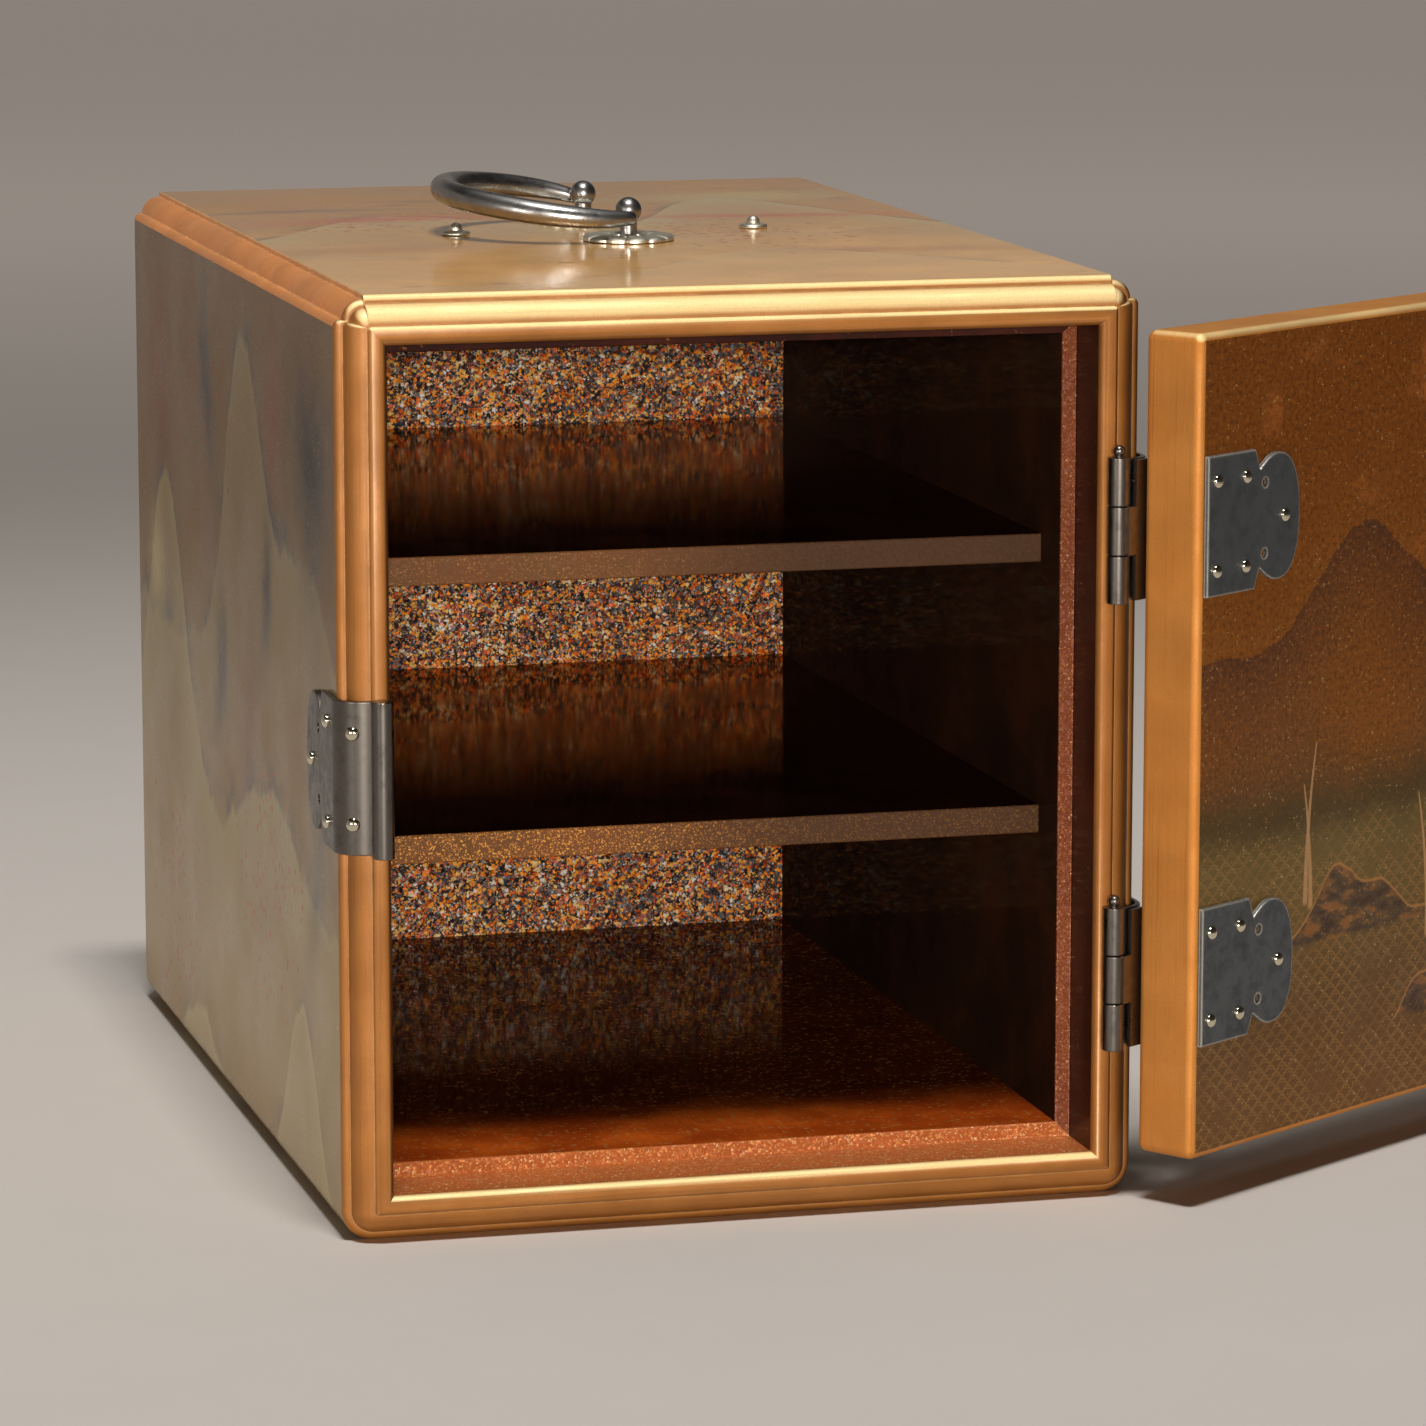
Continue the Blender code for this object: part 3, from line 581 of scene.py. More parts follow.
@dataclass(frozen=True)
class DenseFlakes(Finish):
    """Close-laid gold, copper and dark flakes under clear lacquer, with their glints painted into the palest
    tones.
    """

    pitch: float = 0.00038
    tilt: float = 0.8
    ground: str = "120a08"

    def paint(self, g: Graph) -> None:
        """Wire the finish into its shader."""
        place = g.place(self.stand)
        large = g.effect(flake_group, place, Pitch=self.pitch, Cover=0.6, Tilt=self.tilt)
        shifted = g.vector("ADD", place, (0.0037, 0.0011, 0.0053))
        small = g.effect(flake_group, shifted, Pitch=self.pitch * 0.6, Cover=0.46, Tilt=self.tilt)
        drift = g.noise(place, 0.009, 3.0, 0.6)
        clump = g.noise(place, 0.0011, 2.0, 0.5)
        # The palest tones are painted glints, besides the flakes' own gold and copper.
        stops = (
            (0.0, "14161c"), (0.2, "262022"), (0.29, "8a300e"), (0.42, "d85c14"),
            (0.56, "ff9420"), (0.7, "ffb84c"), (0.83, "ffdc98"), (0.93, "fffaf0"),
        )
        across, _, _ = g.split(place)
        # Painted shade: the flakes take darker tones towards the right of the back wall.
        painted_shade_right = across.rise(-0.01, 0.04) * 0.11
        # The tone shift is partly random drift and clumping, partly the painted shade.
        tone_shift_and_shade = g.spread(drift, 0.3, 0.7, -0.08, 0.08) + (clump - 0.5) * 0.9 - painted_shade_right
        first = g.shades(large["Tone"] + tone_shift_and_shade, stops, stepped=True)
        second = g.shades(small["Tone"] + tone_shift_and_shade, stops, stepped=True)
        colour = g.mix(small["Mask"] * small["Centre"], self.ground, second)
        colour = g.mix(large["Mask"] * large["Centre"], colour, first)
        cover = g.most(large["Mask"], small["Mask"])
        g.put("Base Color", colour)
        g.put("Metallic", cover * 0.15)
        g.put("Roughness", g.spread(large["Glint"], 0.0, 1.0, 0.34, 0.52))
        g.put("Coat Roughness", 0.1)
        g.put("Coat Weight", g.spread(drift, 0.3, 0.7, 0.15, 0.05))
        facing = g.mix(large["Mask"], small["Normal"], large["Normal"])
        g.put("Normal", facing)


@dataclass(frozen=True)
class SpeckledStrip(Finish):
    """Red-brown lacquer strewn with small gold and copper specks, as on the stop strip."""

    ground: str = "4a2416"
    specks: tuple[tuple[float, str], ...] = ()
    pitch: float = 0.00034
    cover: float = 0.42
    glow: float = 0.35
    far_side: str = "4a2416"
    far_share: float = 0.0
    tilt: float = 0.35
    coat: float = 0.35
    metal: float = 0.35

    def paint(self, g: Graph) -> None:
        """Wire the finish into its shader."""
        place = g.place(self.stand)
        across, _, _ = g.split(place)
        flakes = g.effect(flake_group, place, Pitch=self.pitch, Cover=self.cover, Tilt=self.tilt)
        haze = g.effect(haze_group, place, Along=(1.0, 1.0, 1.0))
        colour = g.mix(haze["Film"].rise(0.3, 0.7) * self.glow, self.ground, "8a4a2a")
        metal = g.shades(flakes["Tone"], self.specks, stepped=True)
        colour = g.mix(flakes["Mask"], colour, metal)
        uneven = (haze["Film"] - 0.5) * 0.012
        colour = g.mix((across + uneven).rise(-0.018, 0.012) * self.far_share, colour, self.far_side)
        g.put("Base Color", colour)
        g.put("Metallic", flakes["Mask"] * self.metal)
        g.put("Roughness", g.spread(flakes["Glint"], 0.0, 1.0, 0.32, 0.5))
        g.put("Specular IOR Level", 0.15)
        g.put("Coat Roughness", 0.12)
        g.put("Coat Weight", g.spread(haze["Film"], 0.3, 0.7, self.coat, self.coat * 0.5))
        g.put("Normal", flakes["Normal"])


@dataclass(frozen=True)
class Hill:
    """A misty hill of a picture: humps along a crest, pale at the crest and fading downwards."""

    base: float
    humps: tuple[Triple, ...]
    colour: str
    depth: float
    strength: float
    shadow: float = 0.0
    seed: float = 0.0
    ripple: float = 0.003
    soft: float = 0.00025


@dataclass(frozen=True)
class Spray:
    """A spray of small leaves or blossoms around a middle: (across, up), reach and colour."""

    middle: Pair
    reach: Pair
    colour: str
    pitch: float = 0.0013
    amount: float = 0.5


@dataclass(frozen=True)
class Stroke:
    """A soft brush stroke: middle, half its length and breadth, its lean in radians, and colour."""

    middle: Pair
    reach: Pair
    lean: float
    colour: str
    strength: float = 0.6
    bow: float = 0.0


@dataclass(frozen=True)
class PictureLacquer(Finish):
    """Sprinkled gold ground with a painted landscape of generic hills, mist and sprays."""

    plane: Plane = Plane.SIDE
    # With these colours the ground is lighter towards its foot: a painted glow of light from the floor.
    ground: tuple[tuple[float, str], ...] = ((0.0, "785a34"), (0.5, "8a6a3e"), (1.0, "9c7c48"))
    ground_span: Pair = (0.0918, 0.0)
    hills: tuple[Hill, ...] = ()
    sprays: tuple[Spray, ...] = ()
    strokes: tuple[Stroke, ...] = ()
    shadow_colour: str = "44434a"
    rust: str = "7d4a36"
    rust_amount: float = 0.5
    metal: float = 0.3
    rough: float = 0.3
    coat: float = 0.55
    gloss: float = 0.0
    coat_rough: float = 0.06
    mirrored: float = 1.0

    def axes(self, g: Graph) -> tuple[Signal, Signal]:
        """Give the places across and up the picture."""
        parts = dict(zip("XYZ", g.split(g.place(self.stand))))
        across, up = self.plane.value
        return parts[across] * self.mirrored, parts[up]

    def crest(self, g: Graph, across: Signal, hill: Hill) -> Signal:
        """Give the height of a hill's crest line at each place across."""
        line = g.noise(g.join(across, hill.seed, 0.0), 0.008, 4.0, 0.6) * hill.ripple + hill.base
        for middle, width, height in hill.humps:
            line = line + ((across - middle) / width).bell() * height
        return line

    def scene(self, g: Graph, across: Signal, up: Signal) -> tuple[Signal, Signal]:
        """Paint the picture.

        Args:
            g: The graph to write in.
            across: The place across.
            up: The place upwards.

        Returns:
            The colour, and where the paint stands a little proud.
        """
        flat = g.join(across, up, 0.0)
        # The ground's colour runs along its span; with the plain colours it is lighter towards the foot,
        # painted light from the floor.
        start, end = self.ground_span
        level = g.spread(up, end, start) if start > end else g.spread(up, start, end, 1.0, 0.0)
        mist = g.noise(flat, 0.016, 3.0, 0.55)
        colour = g.shades(1.0 - level + (mist - 0.5) * 0.7, self.ground)
        rusty = g.noise(flat, 0.0095, 4.0, 0.6).rise(0.55, 0.72) * level
        colour = g.mix(rusty * self.rust_amount, colour, self.rust)
        proud = 0.0
        for hill in self.hills:
            over = self.crest(g, across, hill) - up
            inside = over.rise(0.0, hill.soft)
            patch = g.noise(g.join(across, up, hill.seed + 0.31), 0.007, 3.0, 0.6)
            behind = (over * -1.0).fade(0.0022) * (1.0 - inside)
            colour = g.mix(behind * patch.rise(0.4, 0.62) * hill.shadow, colour, self.shadow_colour)
            body = inside * over.fade(hill.depth) * (patch * 0.7 + 0.4)
            colour = g.mix(body * hill.strength, colour, hill.colour)
            line = ((over - hill.soft * 0.5) / (hill.soft * 0.5)).bell()
            colour = g.mix(line * hill.strength * 0.45, colour, hill.colour)
            proud = g.most(proud, inside * over.fade(hill.depth * 0.4))
        ragged = g.noise(flat, 0.0034, 4.0, 0.6)
        for stroke in self.strokes:
            middle, height = stroke.middle
            along = (across - middle) * cos(stroke.lean) + (up - height) * sin(stroke.lean)
            aside = (up - height) * cos(stroke.lean) - (across - middle) * sin(stroke.lean)
            share = along / stroke.reach[0]
            bowed = aside / stroke.reach[1] + share * share * stroke.bow + (ragged - 0.5) * 1.6
            body = share.bell() * bowed.bell()
            colour = g.mix(body * stroke.strength, colour, stroke.colour)
        for spray in self.sprays:
            dots = self.spray_dots(g, across, up, spray)
            colour = g.mix(dots * 0.85, colour, spray.colour)
            proud = g.most(proud, dots)
        return colour, proud

    def spray_dots(self, g: Graph, across: Signal, up: Signal, spray: Spray) -> Signal:
        """Give the mask of a spray's dots."""
        flat = g.join(across, up, 0.0)
        distance, colour = g.cells(flat, spray.pitch)
        size, _, chance = g.split(colour)
        middle, height = spray.middle
        around = ((across - middle) / spray.reach[0]).bell() * ((up - height) / spray.reach[1]).bell()
        cluster = g.noise(flat, 0.0042, 3.0, 0.6) * 0.6 + chance * 0.35
        chosen = (around * spray.amount + cluster - 0.5).rise(0.22, 0.36)
        return g.spread(distance - size * 0.16, 0.16, 0.26, 1.0, 0.0) * chosen

    def paint(self, g: Graph) -> None:
        """Wire the finish into its shader."""
        across, up = self.axes(g)
        colour, proud = self.scene(g, across, up)
        place = g.place(self.stand)
        powder = g.effect(powder_group, place, Drift=1.0)
        flakes = g.effect(flake_group, place, Pitch=0.0004, Cover=0.22, Tilt=0.5)
        wear = g.effect(wear_group, place, Amount=0.3)
        haze = g.effect(haze_group, place, Along=(1.0, 1.0, 1.0))
        colour = g.mix(powder["Grain"] * 0.16, colour, "3c3128")
        lit = flakes["Mask"] * flakes["Tone"].rise(0.6, 0.9)
        colour = g.layers(
            colour,
            (lit * 0.35, "d9b87a"),
            (wear["Rubbed"] * 0.4, "4a2c18"),
        )
        specks = g.effect(dust_group, place, Amount=-0.02)
        colour = g.mix(specks["Mask"] * 0.8, colour, "cfc6b8")
        g.put("Base Color", colour)
        g.put("Metallic", g.spread(powder["Grain"], 0.0, 1.0, self.metal + 0.1, self.metal - 0.15))
        g.put("Roughness", g.spread(haze["Film"], 0.3, 0.7, self.rough - 0.04, self.rough + 0.08))
        g.put("Coat Roughness", self.coat_rough)
        g.put("Specular IOR Level", self.gloss)
        g.put("Coat Weight", g.spread(haze["Film"], 0.25, 0.75, self.coat + 0.1, self.coat - 0.1))
        height = haze["Waves"] + proud * 0.8 + powder["Grain"] * 0.12
        g.put("Normal", g.bump(height, 0.000014))


@dataclass(frozen=True)
class WaterPicture(PictureLacquer):
    """A shore in brown and gold: mist over a dark bank, ROCKS, REEDS and rows of scale waves."""

    shore: float = 0.033
    wave_pitch: float = 0.002
    reeds: tuple[tuple[float, float, float, float], ...] = ()
    rocks: tuple[Hill, ...] = ()

    def scene(self, g: Graph, across: Signal, up: Signal) -> tuple[Signal, Signal]:
        """Paint the picture, with what the plain picture is given and gives."""
        colour, proud = super().scene(g, across, up)
        flat = g.join(across, up, 0.0)
        woven = g.noise(flat, 0.00055, 3.0, 0.75)
        colour = g.layers(
            colour,
            (woven.rise(0.5, 0.64) * 0.45, "3a1c0a"),
            ((1.0 - woven).rise(0.54, 0.66) * 0.35, "b06420"),
        )
        bank = g.noise(g.join(across, 3.3, 0.0), 0.012, 3.0, 0.6) * 0.007 + self.shore
        below = (bank - up).rise(-0.0012, 0.0035)
        green = ((up - bank) / 0.0042).bell()
        colour = g.mix(green * 0.75, colour, "3f3a20")
        deep = g.shades(g.spread(up, 0.004, self.shore), ((0.0, "6a4822"), (0.5, "604626"), (1.0, "6c5a30")))
        colour = g.mix(below * 0.8, colour, deep)
        lines = self.scale_waves(g, across, up)
        broken = g.noise(flat, 0.006, 3.0, 0.6).rise(0.3, 0.55)
        colour = g.mix(lines * below * broken * 0.28, colour, "b8864a")
        proud = g.most(proud, lines * below * 0.7)
        for rock in self.rocks:
            over = self.crest(g, across, rock) - up
            floor = g.noise(g.join(across, rock.seed + 2.0, 0.0), 0.005, 3.0, 0.6) * 0.0016 + rock.depth
            inside = over.rise(0.0, 0.0002) * (up - floor).rise(0.0, 0.0009)
            facets = g.noise(g.vector("MULTIPLY", flat, (1.0, 2.2, 1.0)), 0.0032, 3.0, 0.6)
            stone = g.shades(facets, ((0.35, "3d2a20"), (0.5, "54402f"), (0.62, "8a5a2e")))
            colour = g.mix(inside * rock.strength, colour, stone)
            edge = ((over - 0.0001) / 0.00016).bell() * (up - floor).rise(0.0, 0.0009)
            colour = g.mix(edge * 0.8, colour, rock.colour)
            proud = g.most(proud, inside)
        for foot, head, root, lean in self.reeds:
            share = (up - root) / (head - root)
            stem = across - foot - share * share * lean
            width = (1.0 - share) * 0.00028 + 0.0001
            stroke = g.spread(stem.size() / width, 0.7, 1.3, 1.0, 0.0)
            within = share.rise(-0.02, 0.02) * g.spread(share, 0.97, 1.0, 1.0, 0.0)
            colour = g.mix(stroke * within * 0.85, colour, "b58a5c")
            proud = g.most(proud, stroke * within)
        return colour, proud

    def scale_waves(self, g: Graph, across: Signal, up: Signal) -> Signal:
        """Give the lines of rows of scale-shaped waves, each row half a wave aside."""
        rows = up / (self.wave_pitch * 0.42)
        row = rows.whole()
        aside = (row * 0.5).fraction()
        phase = (across / self.wave_pitch + aside) * pi
        arch = phase.sine().size()
        lines = (rows.fraction() - arch * 0.85).size()
        first = g.spread(lines, 0.05, 0.22, 1.0, 0.0)
        inner = (rows.fraction() - arch * 0.45).size()
        return g.most(first, g.spread(inner, 0.04, 0.16, 0.7, 0.0))


@dataclass(frozen=True)
class AgedSilver(Finish):
    """Silver with a grey skin; where asked, its edges are brighter, partly rubbed wear and partly a painted
    highlight.
    """

    colour: str = "b9b6b0"
    tarnish: str = "4d4a46"
    tarnished: float = 0.35
    rough: float = 0.17
    metal: float = 1.0
    lines: float = 0.000003
    along: Triple = (1.0, 1.0, 0.05)
    spread_low: float = 0.4
    edge_wear_and_highlight: float = 0.0

    def paint(self, g: Graph) -> None:
        """Wire the finish into its shader."""
        place = g.place(self.stand)
        haze = g.effect(haze_group, place, Along=self.along)
        wear = g.effect(wear_group, place, Amount=0.55)
        skin = g.noise(place, 0.0018, 4.0, 0.65)
        patches = skin.rise(self.spread_low, self.spread_low + 0.3)
        colour = g.mix(patches * self.tarnished, self.colour, self.tarnish)
        # Brighter edges: partly rubbed wear, partly a painted highlight.
        colour = g.mix(wear["Edge"] * self.edge_wear_and_highlight, colour, "d8d2c4")
        g.put("Base Color", colour)
        g.put("Metallic", self.metal)
        g.put("Roughness", g.spread(skin, 0.3, 0.7, self.rough, self.rough + 0.14))
        height = haze["Lines"] + skin * 0.6
        g.put("Normal", g.bump(height, self.lines))


def quarter(steps: int, first: int = 0) -> list[Pair]:
    """Give the sine and cosine at each step of a quarter turn, from a first step to the last."""
    angles = [pi / 2 * i / steps for i in range(first, steps + 1)]
    return [(sin(angle), cos(angle)) for angle in angles]


def circle(radius: float, height: float, sides: int) -> list[Triple]:
    """Give the points of a level circle about the origin's upright axis."""
    angles = [2 * pi * i / sides for i in range(sides)]
    return [(radius * cos(angle), radius * sin(angle), height) for angle in angles]


class Maker:
    """Collects rings of points and the faces between them, each with a finish number."""

    def __init__(self) -> None:
        """Start with nothing."""
        self.points: list[Vector] = []
        self.faces: list[tuple[int, ...]] = []
        self.finishes: list[int] = []

    def ring(self, points: Sequence[Point]) -> list[int]:
        """Add points and give their numbers."""
        start = len(self.points)
        self.points += [Vector(point) for point in points]
        return list(range(start, len(self.points)))

    def face(self, corners: Sequence[int], finish: int = 0) -> None:
        """Add one face."""
        self.faces.append(tuple(corners))
        self.finishes.append(finish)

    def bridge(
        self, low: Sequence[int], high: Sequence[int], finish: int | Callable[[int], int] = 0
    ) -> None:
        """Join two closed rings of equal length.

        Args:
            low: The first ring.
            high: The second ring.
            finish: The finish number, or a function that gives it for each segment.
        """
        count = len(low)
        for i in range(count):
            j = (i + 1) % count
            number = finish(i) if callable(finish) else finish
            self.face((low[i], low[j], high[j], high[i]), number)

    def loft(self, rings: Sequence[Sequence[Point]], finish: "int | Callable[[int], int]" = 0) -> None:
        """Join a row of rings and close both ends."""
        numbers = [self.ring(points) for points in rings]
        for low, high in zip(numbers, numbers[1:]):
            self.bridge(low, high, finish)
        for end in (numbers[0], numbers[-1]):
            self.face(end, finish(0) if callable(finish) else finish)

    def turn(self, profile: Sequence[Pair], sides: int) -> None:
        """Add a turned body about an upright axis, from (radius, height) pairs, closed at its ends."""
        self.loft([circle(radius, height, sides) for radius, height in profile])

    def piece(self, name: str, matrix: "Matrix | None" = None) -> Item:
        """Turn what was collected into an object with outward faces.

        Args:
            name: The object's name.
            matrix: Where the object stands, or None for the origin.

        Returns:
            The object, linked to the scene.
        """
        mesh = bpy.data.meshes.new(name)
        mesh.from_pydata([tuple(point) for point in self.points], [], self.faces)
        mesh.polygons.foreach_set("material_index", self.finishes)
        bm = bmesh.new()
        bm.from_mesh(mesh)
        bmesh.ops.remove_doubles(bm, verts=bm.verts, dist=WELD)
        bmesh.ops.dissolve_degenerate(bm, edges=bm.edges, dist=WELD)
        bmesh.ops.recalc_face_normals(bm, faces=bm.faces)
        bm.to_mesh(mesh)
        bm.free()
        item = bpy.data.objects.new(name, mesh)
        bpy.context.scene.collection.objects.link(item)
        item.matrix_world = matrix or Matrix.Identity(4)
        return item


def apply_modifiers(item: Item) -> None:
    """Turn what a piece's modifiers make of its mesh into its mesh."""
    bpy.context.view_layer.update()
    evaluated = item.evaluated_get(bpy.context.evaluated_depsgraph_get())
    item.data = bpy.data.meshes.new_from_object(evaluated)
    item.modifiers.clear()


def settle(item: Item) -> None:
    """Shade a piece smooth, with flat faces kept flat beside rounded edges."""
    item.data.shade_smooth()
    item.data.set_sharp_from_angle(angle=SMOOTH_ANGLE)
    item.modifiers.new("weighted", "WEIGHTED_NORMAL").keep_sharp = True
    apply_modifiers(item)
    item.data.name = item.name


def join_on(item: Item, maker: Maker) -> None:
    """Join what a maker has collected to a piece's mesh."""
    joined = maker.piece("joined")
    bm = bmesh.new()
    bm.from_mesh(item.data)
    bm.from_mesh(joined.data)
    bm.to_mesh(item.data)
    bm.free()
    bpy.data.objects.remove(joined, do_unlink=True)


def cut_away(item: Item, tools: Sequence[Item]) -> None:
    """Cut tool objects out of a piece, and delete them."""
    for tool in tools:
        modifier = item.modifiers.new("cut", "BOOLEAN")
        modifier.operation = "DIFFERENCE"
        modifier.solver = "EXACT"
        modifier.object = tool
    apply_modifiers(item)
    for tool in tools:
        bpy.data.objects.remove(tool, do_unlink=True)


def dress(item: Item, body: Body, nodes: Sequence[str], finishes: Sequence[Finish]) -> None:
    """Give a piece its finishes and its place in the frame.

    Args:
        item: The piece.
        body: The body that it moves with.
        nodes: The solids that it stands for.
        finishes: Its finishes, in the order of their numbers.
    """
    settle(item)
    item.data.transform(item.matrix_world)
    item.matrix_world = Matrix.Identity(4)
    for finish in finishes:
        item.data.materials.append(finish.material())
    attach(item, body.value)
    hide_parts(*nodes)
    LOG.info("%s: %d faces, stands for %s", item.name, len(item.data.polygons), ", ".join(nodes))


SIDE_HILLS = (
    Hill(0.042, ((-0.008, 0.015, 0.036), (-0.04, 0.016, 0.018)), "a29468", 0.024, 0.6, 1, 0.7, 0.01, 0.0018),
    Hill(0.024, ((0.04, 0.016, 0.034), (-0.02, 0.02, 0.01)), "b0a26e", 0.016, 0.7, 0.9, 2.9, 0.009, 0.0014),
    Hill(
        -0.006, ((-0.036, 0.012, 0.022), (0.022, 0.016, 0.01)), "c0b284", 0.01, 0.7, 0.4, 5.1, 0.006, 0.0012
    ),
)
SIDE_STROKES = (
    Stroke((-0.044, 0.074), (0.01, 0.008), 1.1, "22222a", 0.9, 0.3),
    Stroke((0.014, 0.076), (0.01, 0.0034), 1.35, "22222a", 0.85, -0.4),
    Stroke((-0.02, 0.058), (0.007, 0.0024), 1.75, "26262e", 0.8, 0.4),
    Stroke((0.006, 0.046), (0.007, 0.003), 1.85, "24242c", 0.8, 0.5),
    Stroke((-0.024, 0.077), (0.008, 0.0034), 1.8, "863c22", 0.65),
    Stroke((0.044, 0.074), (0.01, 0.008), 1.4, "7c3a20", 0.7),
    Stroke((-0.01, 0.044), (0.01, 0.003), 1.95, "7a4028", 0.5),
    Stroke((-0.046, 0.036), (0.012, 0.0034), 1.8, "2e2e36", 0.5, 0.5),
    Stroke((0.046, 0.052), (0.005, 0.004), 1.5, "d0bc80", 0.6),
)
SIDE_SPRAYS = (
    Spray((-0.02, 0.028), (0.016, 0.012), "a8503a", amount=0.62),
    Spray((0.034, 0.016), (0.014, 0.01), "a0523c", amount=0.6),
    Spray((0.02, 0.074), (0.018, 0.01), "8a4028", amount=0.6),
)
TOP_HILLS = (
    Hill(-0.01, ((-0.018, 0.016, 0.03), (0.02, 0.014, 0.042)), "c2b488", 0.02, 0.75, 0.6, 1.7),
    Hill(-0.052, ((0.012, 0.018, 0.028),), "dcb884", 0.012, 0.6, 0.4, 4.4),
)
TOP_SPRAYS = (
    Spray((-0.022, 0.018), (0.012, 0.012), "b5604a", amount=0.6),
    Spray((0.01, -0.004), (0.014, 0.016), "b5604a", amount=0.6),
)
TOP_STROKES = (
    Stroke((-0.02, 0.019), (0.013, 0.0026), 0.12, "c8482c", 0.7, 0.5),
    Stroke((0.02, 0.013), (0.015, 0.0024), -0.1, "c04a30", 0.6, -0.4),
    Stroke((-0.028, 0.03), (0.01, 0.0014), 0.1, "5a5048", 0.65, 0.6),
    Stroke((-0.004, 0.038), (0.014, 0.0016), -0.05, "6a5c48", 0.45, -0.5),
    Stroke((0.024, 0.036), (0.013, 0.006), 0.1, "c8b878", 0.55),
    Stroke((-0.03, -0.014), (0.016, 0.004), 0.15, "b87444", 0.5),
    Stroke((0.026, -0.026), (0.016, 0.003), -0.15, "a86a40", 0.4),
    Stroke((0.006, -0.04), (0.02, 0.004), 0.05, "d0a468", 0.4),
)
CLOUDS = (
    Hill(0.052, ((-0.03, 0.01, 0.012), (-0.052, 0.009, 0.008)), "4b2f22", 0.013, 0.95, 0.0, 8.3, 0.004),
)
ROCKS = (
    Hill(0.0235, ((-0.026, 0.005, 0.0065), (-0.034, 0.004, 0.0035)), "b07a42", 0.0225, 0.9, 0, 1.2, 0.0022),
    Hill(0.01, ((-0.05, 0.007, 0.011), (-0.04, 0.004, 0.005)), "b07a42", 0.0125, 0.9, 0.0, 6.4, 0.0022),
)
REEDS = (
    (-0.0205, 0.0445, 0.028, -0.0016),
    (-0.0214, 0.0405, 0.0275, 0.0014),
    (-0.042, 0.037, 0.0215, 0.002),
)
OUTER_HILLS = (
    Hill(0.04, ((-0.052, 0.014, 0.024), (-0.02, 0.016, 0.016)), "958b70", 0.014, 0.75, 0.8, 3.7),
    Hill(0.006, ((-0.06, 0.012, 0.014), (-0.03, 0.014, 0.018)), "a3977a", 0.012, 0.85, 0.4, 7.9),
)
TOP_GROUND = ((0.0, "b0804a"), (0.5, "c89250"), (1.0, "f0b876"))
BACK_GROUND = ((0.0, "5c4a36"), (0.5, "6e5c44"), (1.0, "7c6a50"))
DOOR_GROUND = ((0.0, "7a4416"), (0.45, "8a521c"), (0.75, "704616"), (1.0, "664218"))
OUTER_SPRAYS = (Spray((-0.045, 0.034), (0.014, 0.01), "a2604f"),)


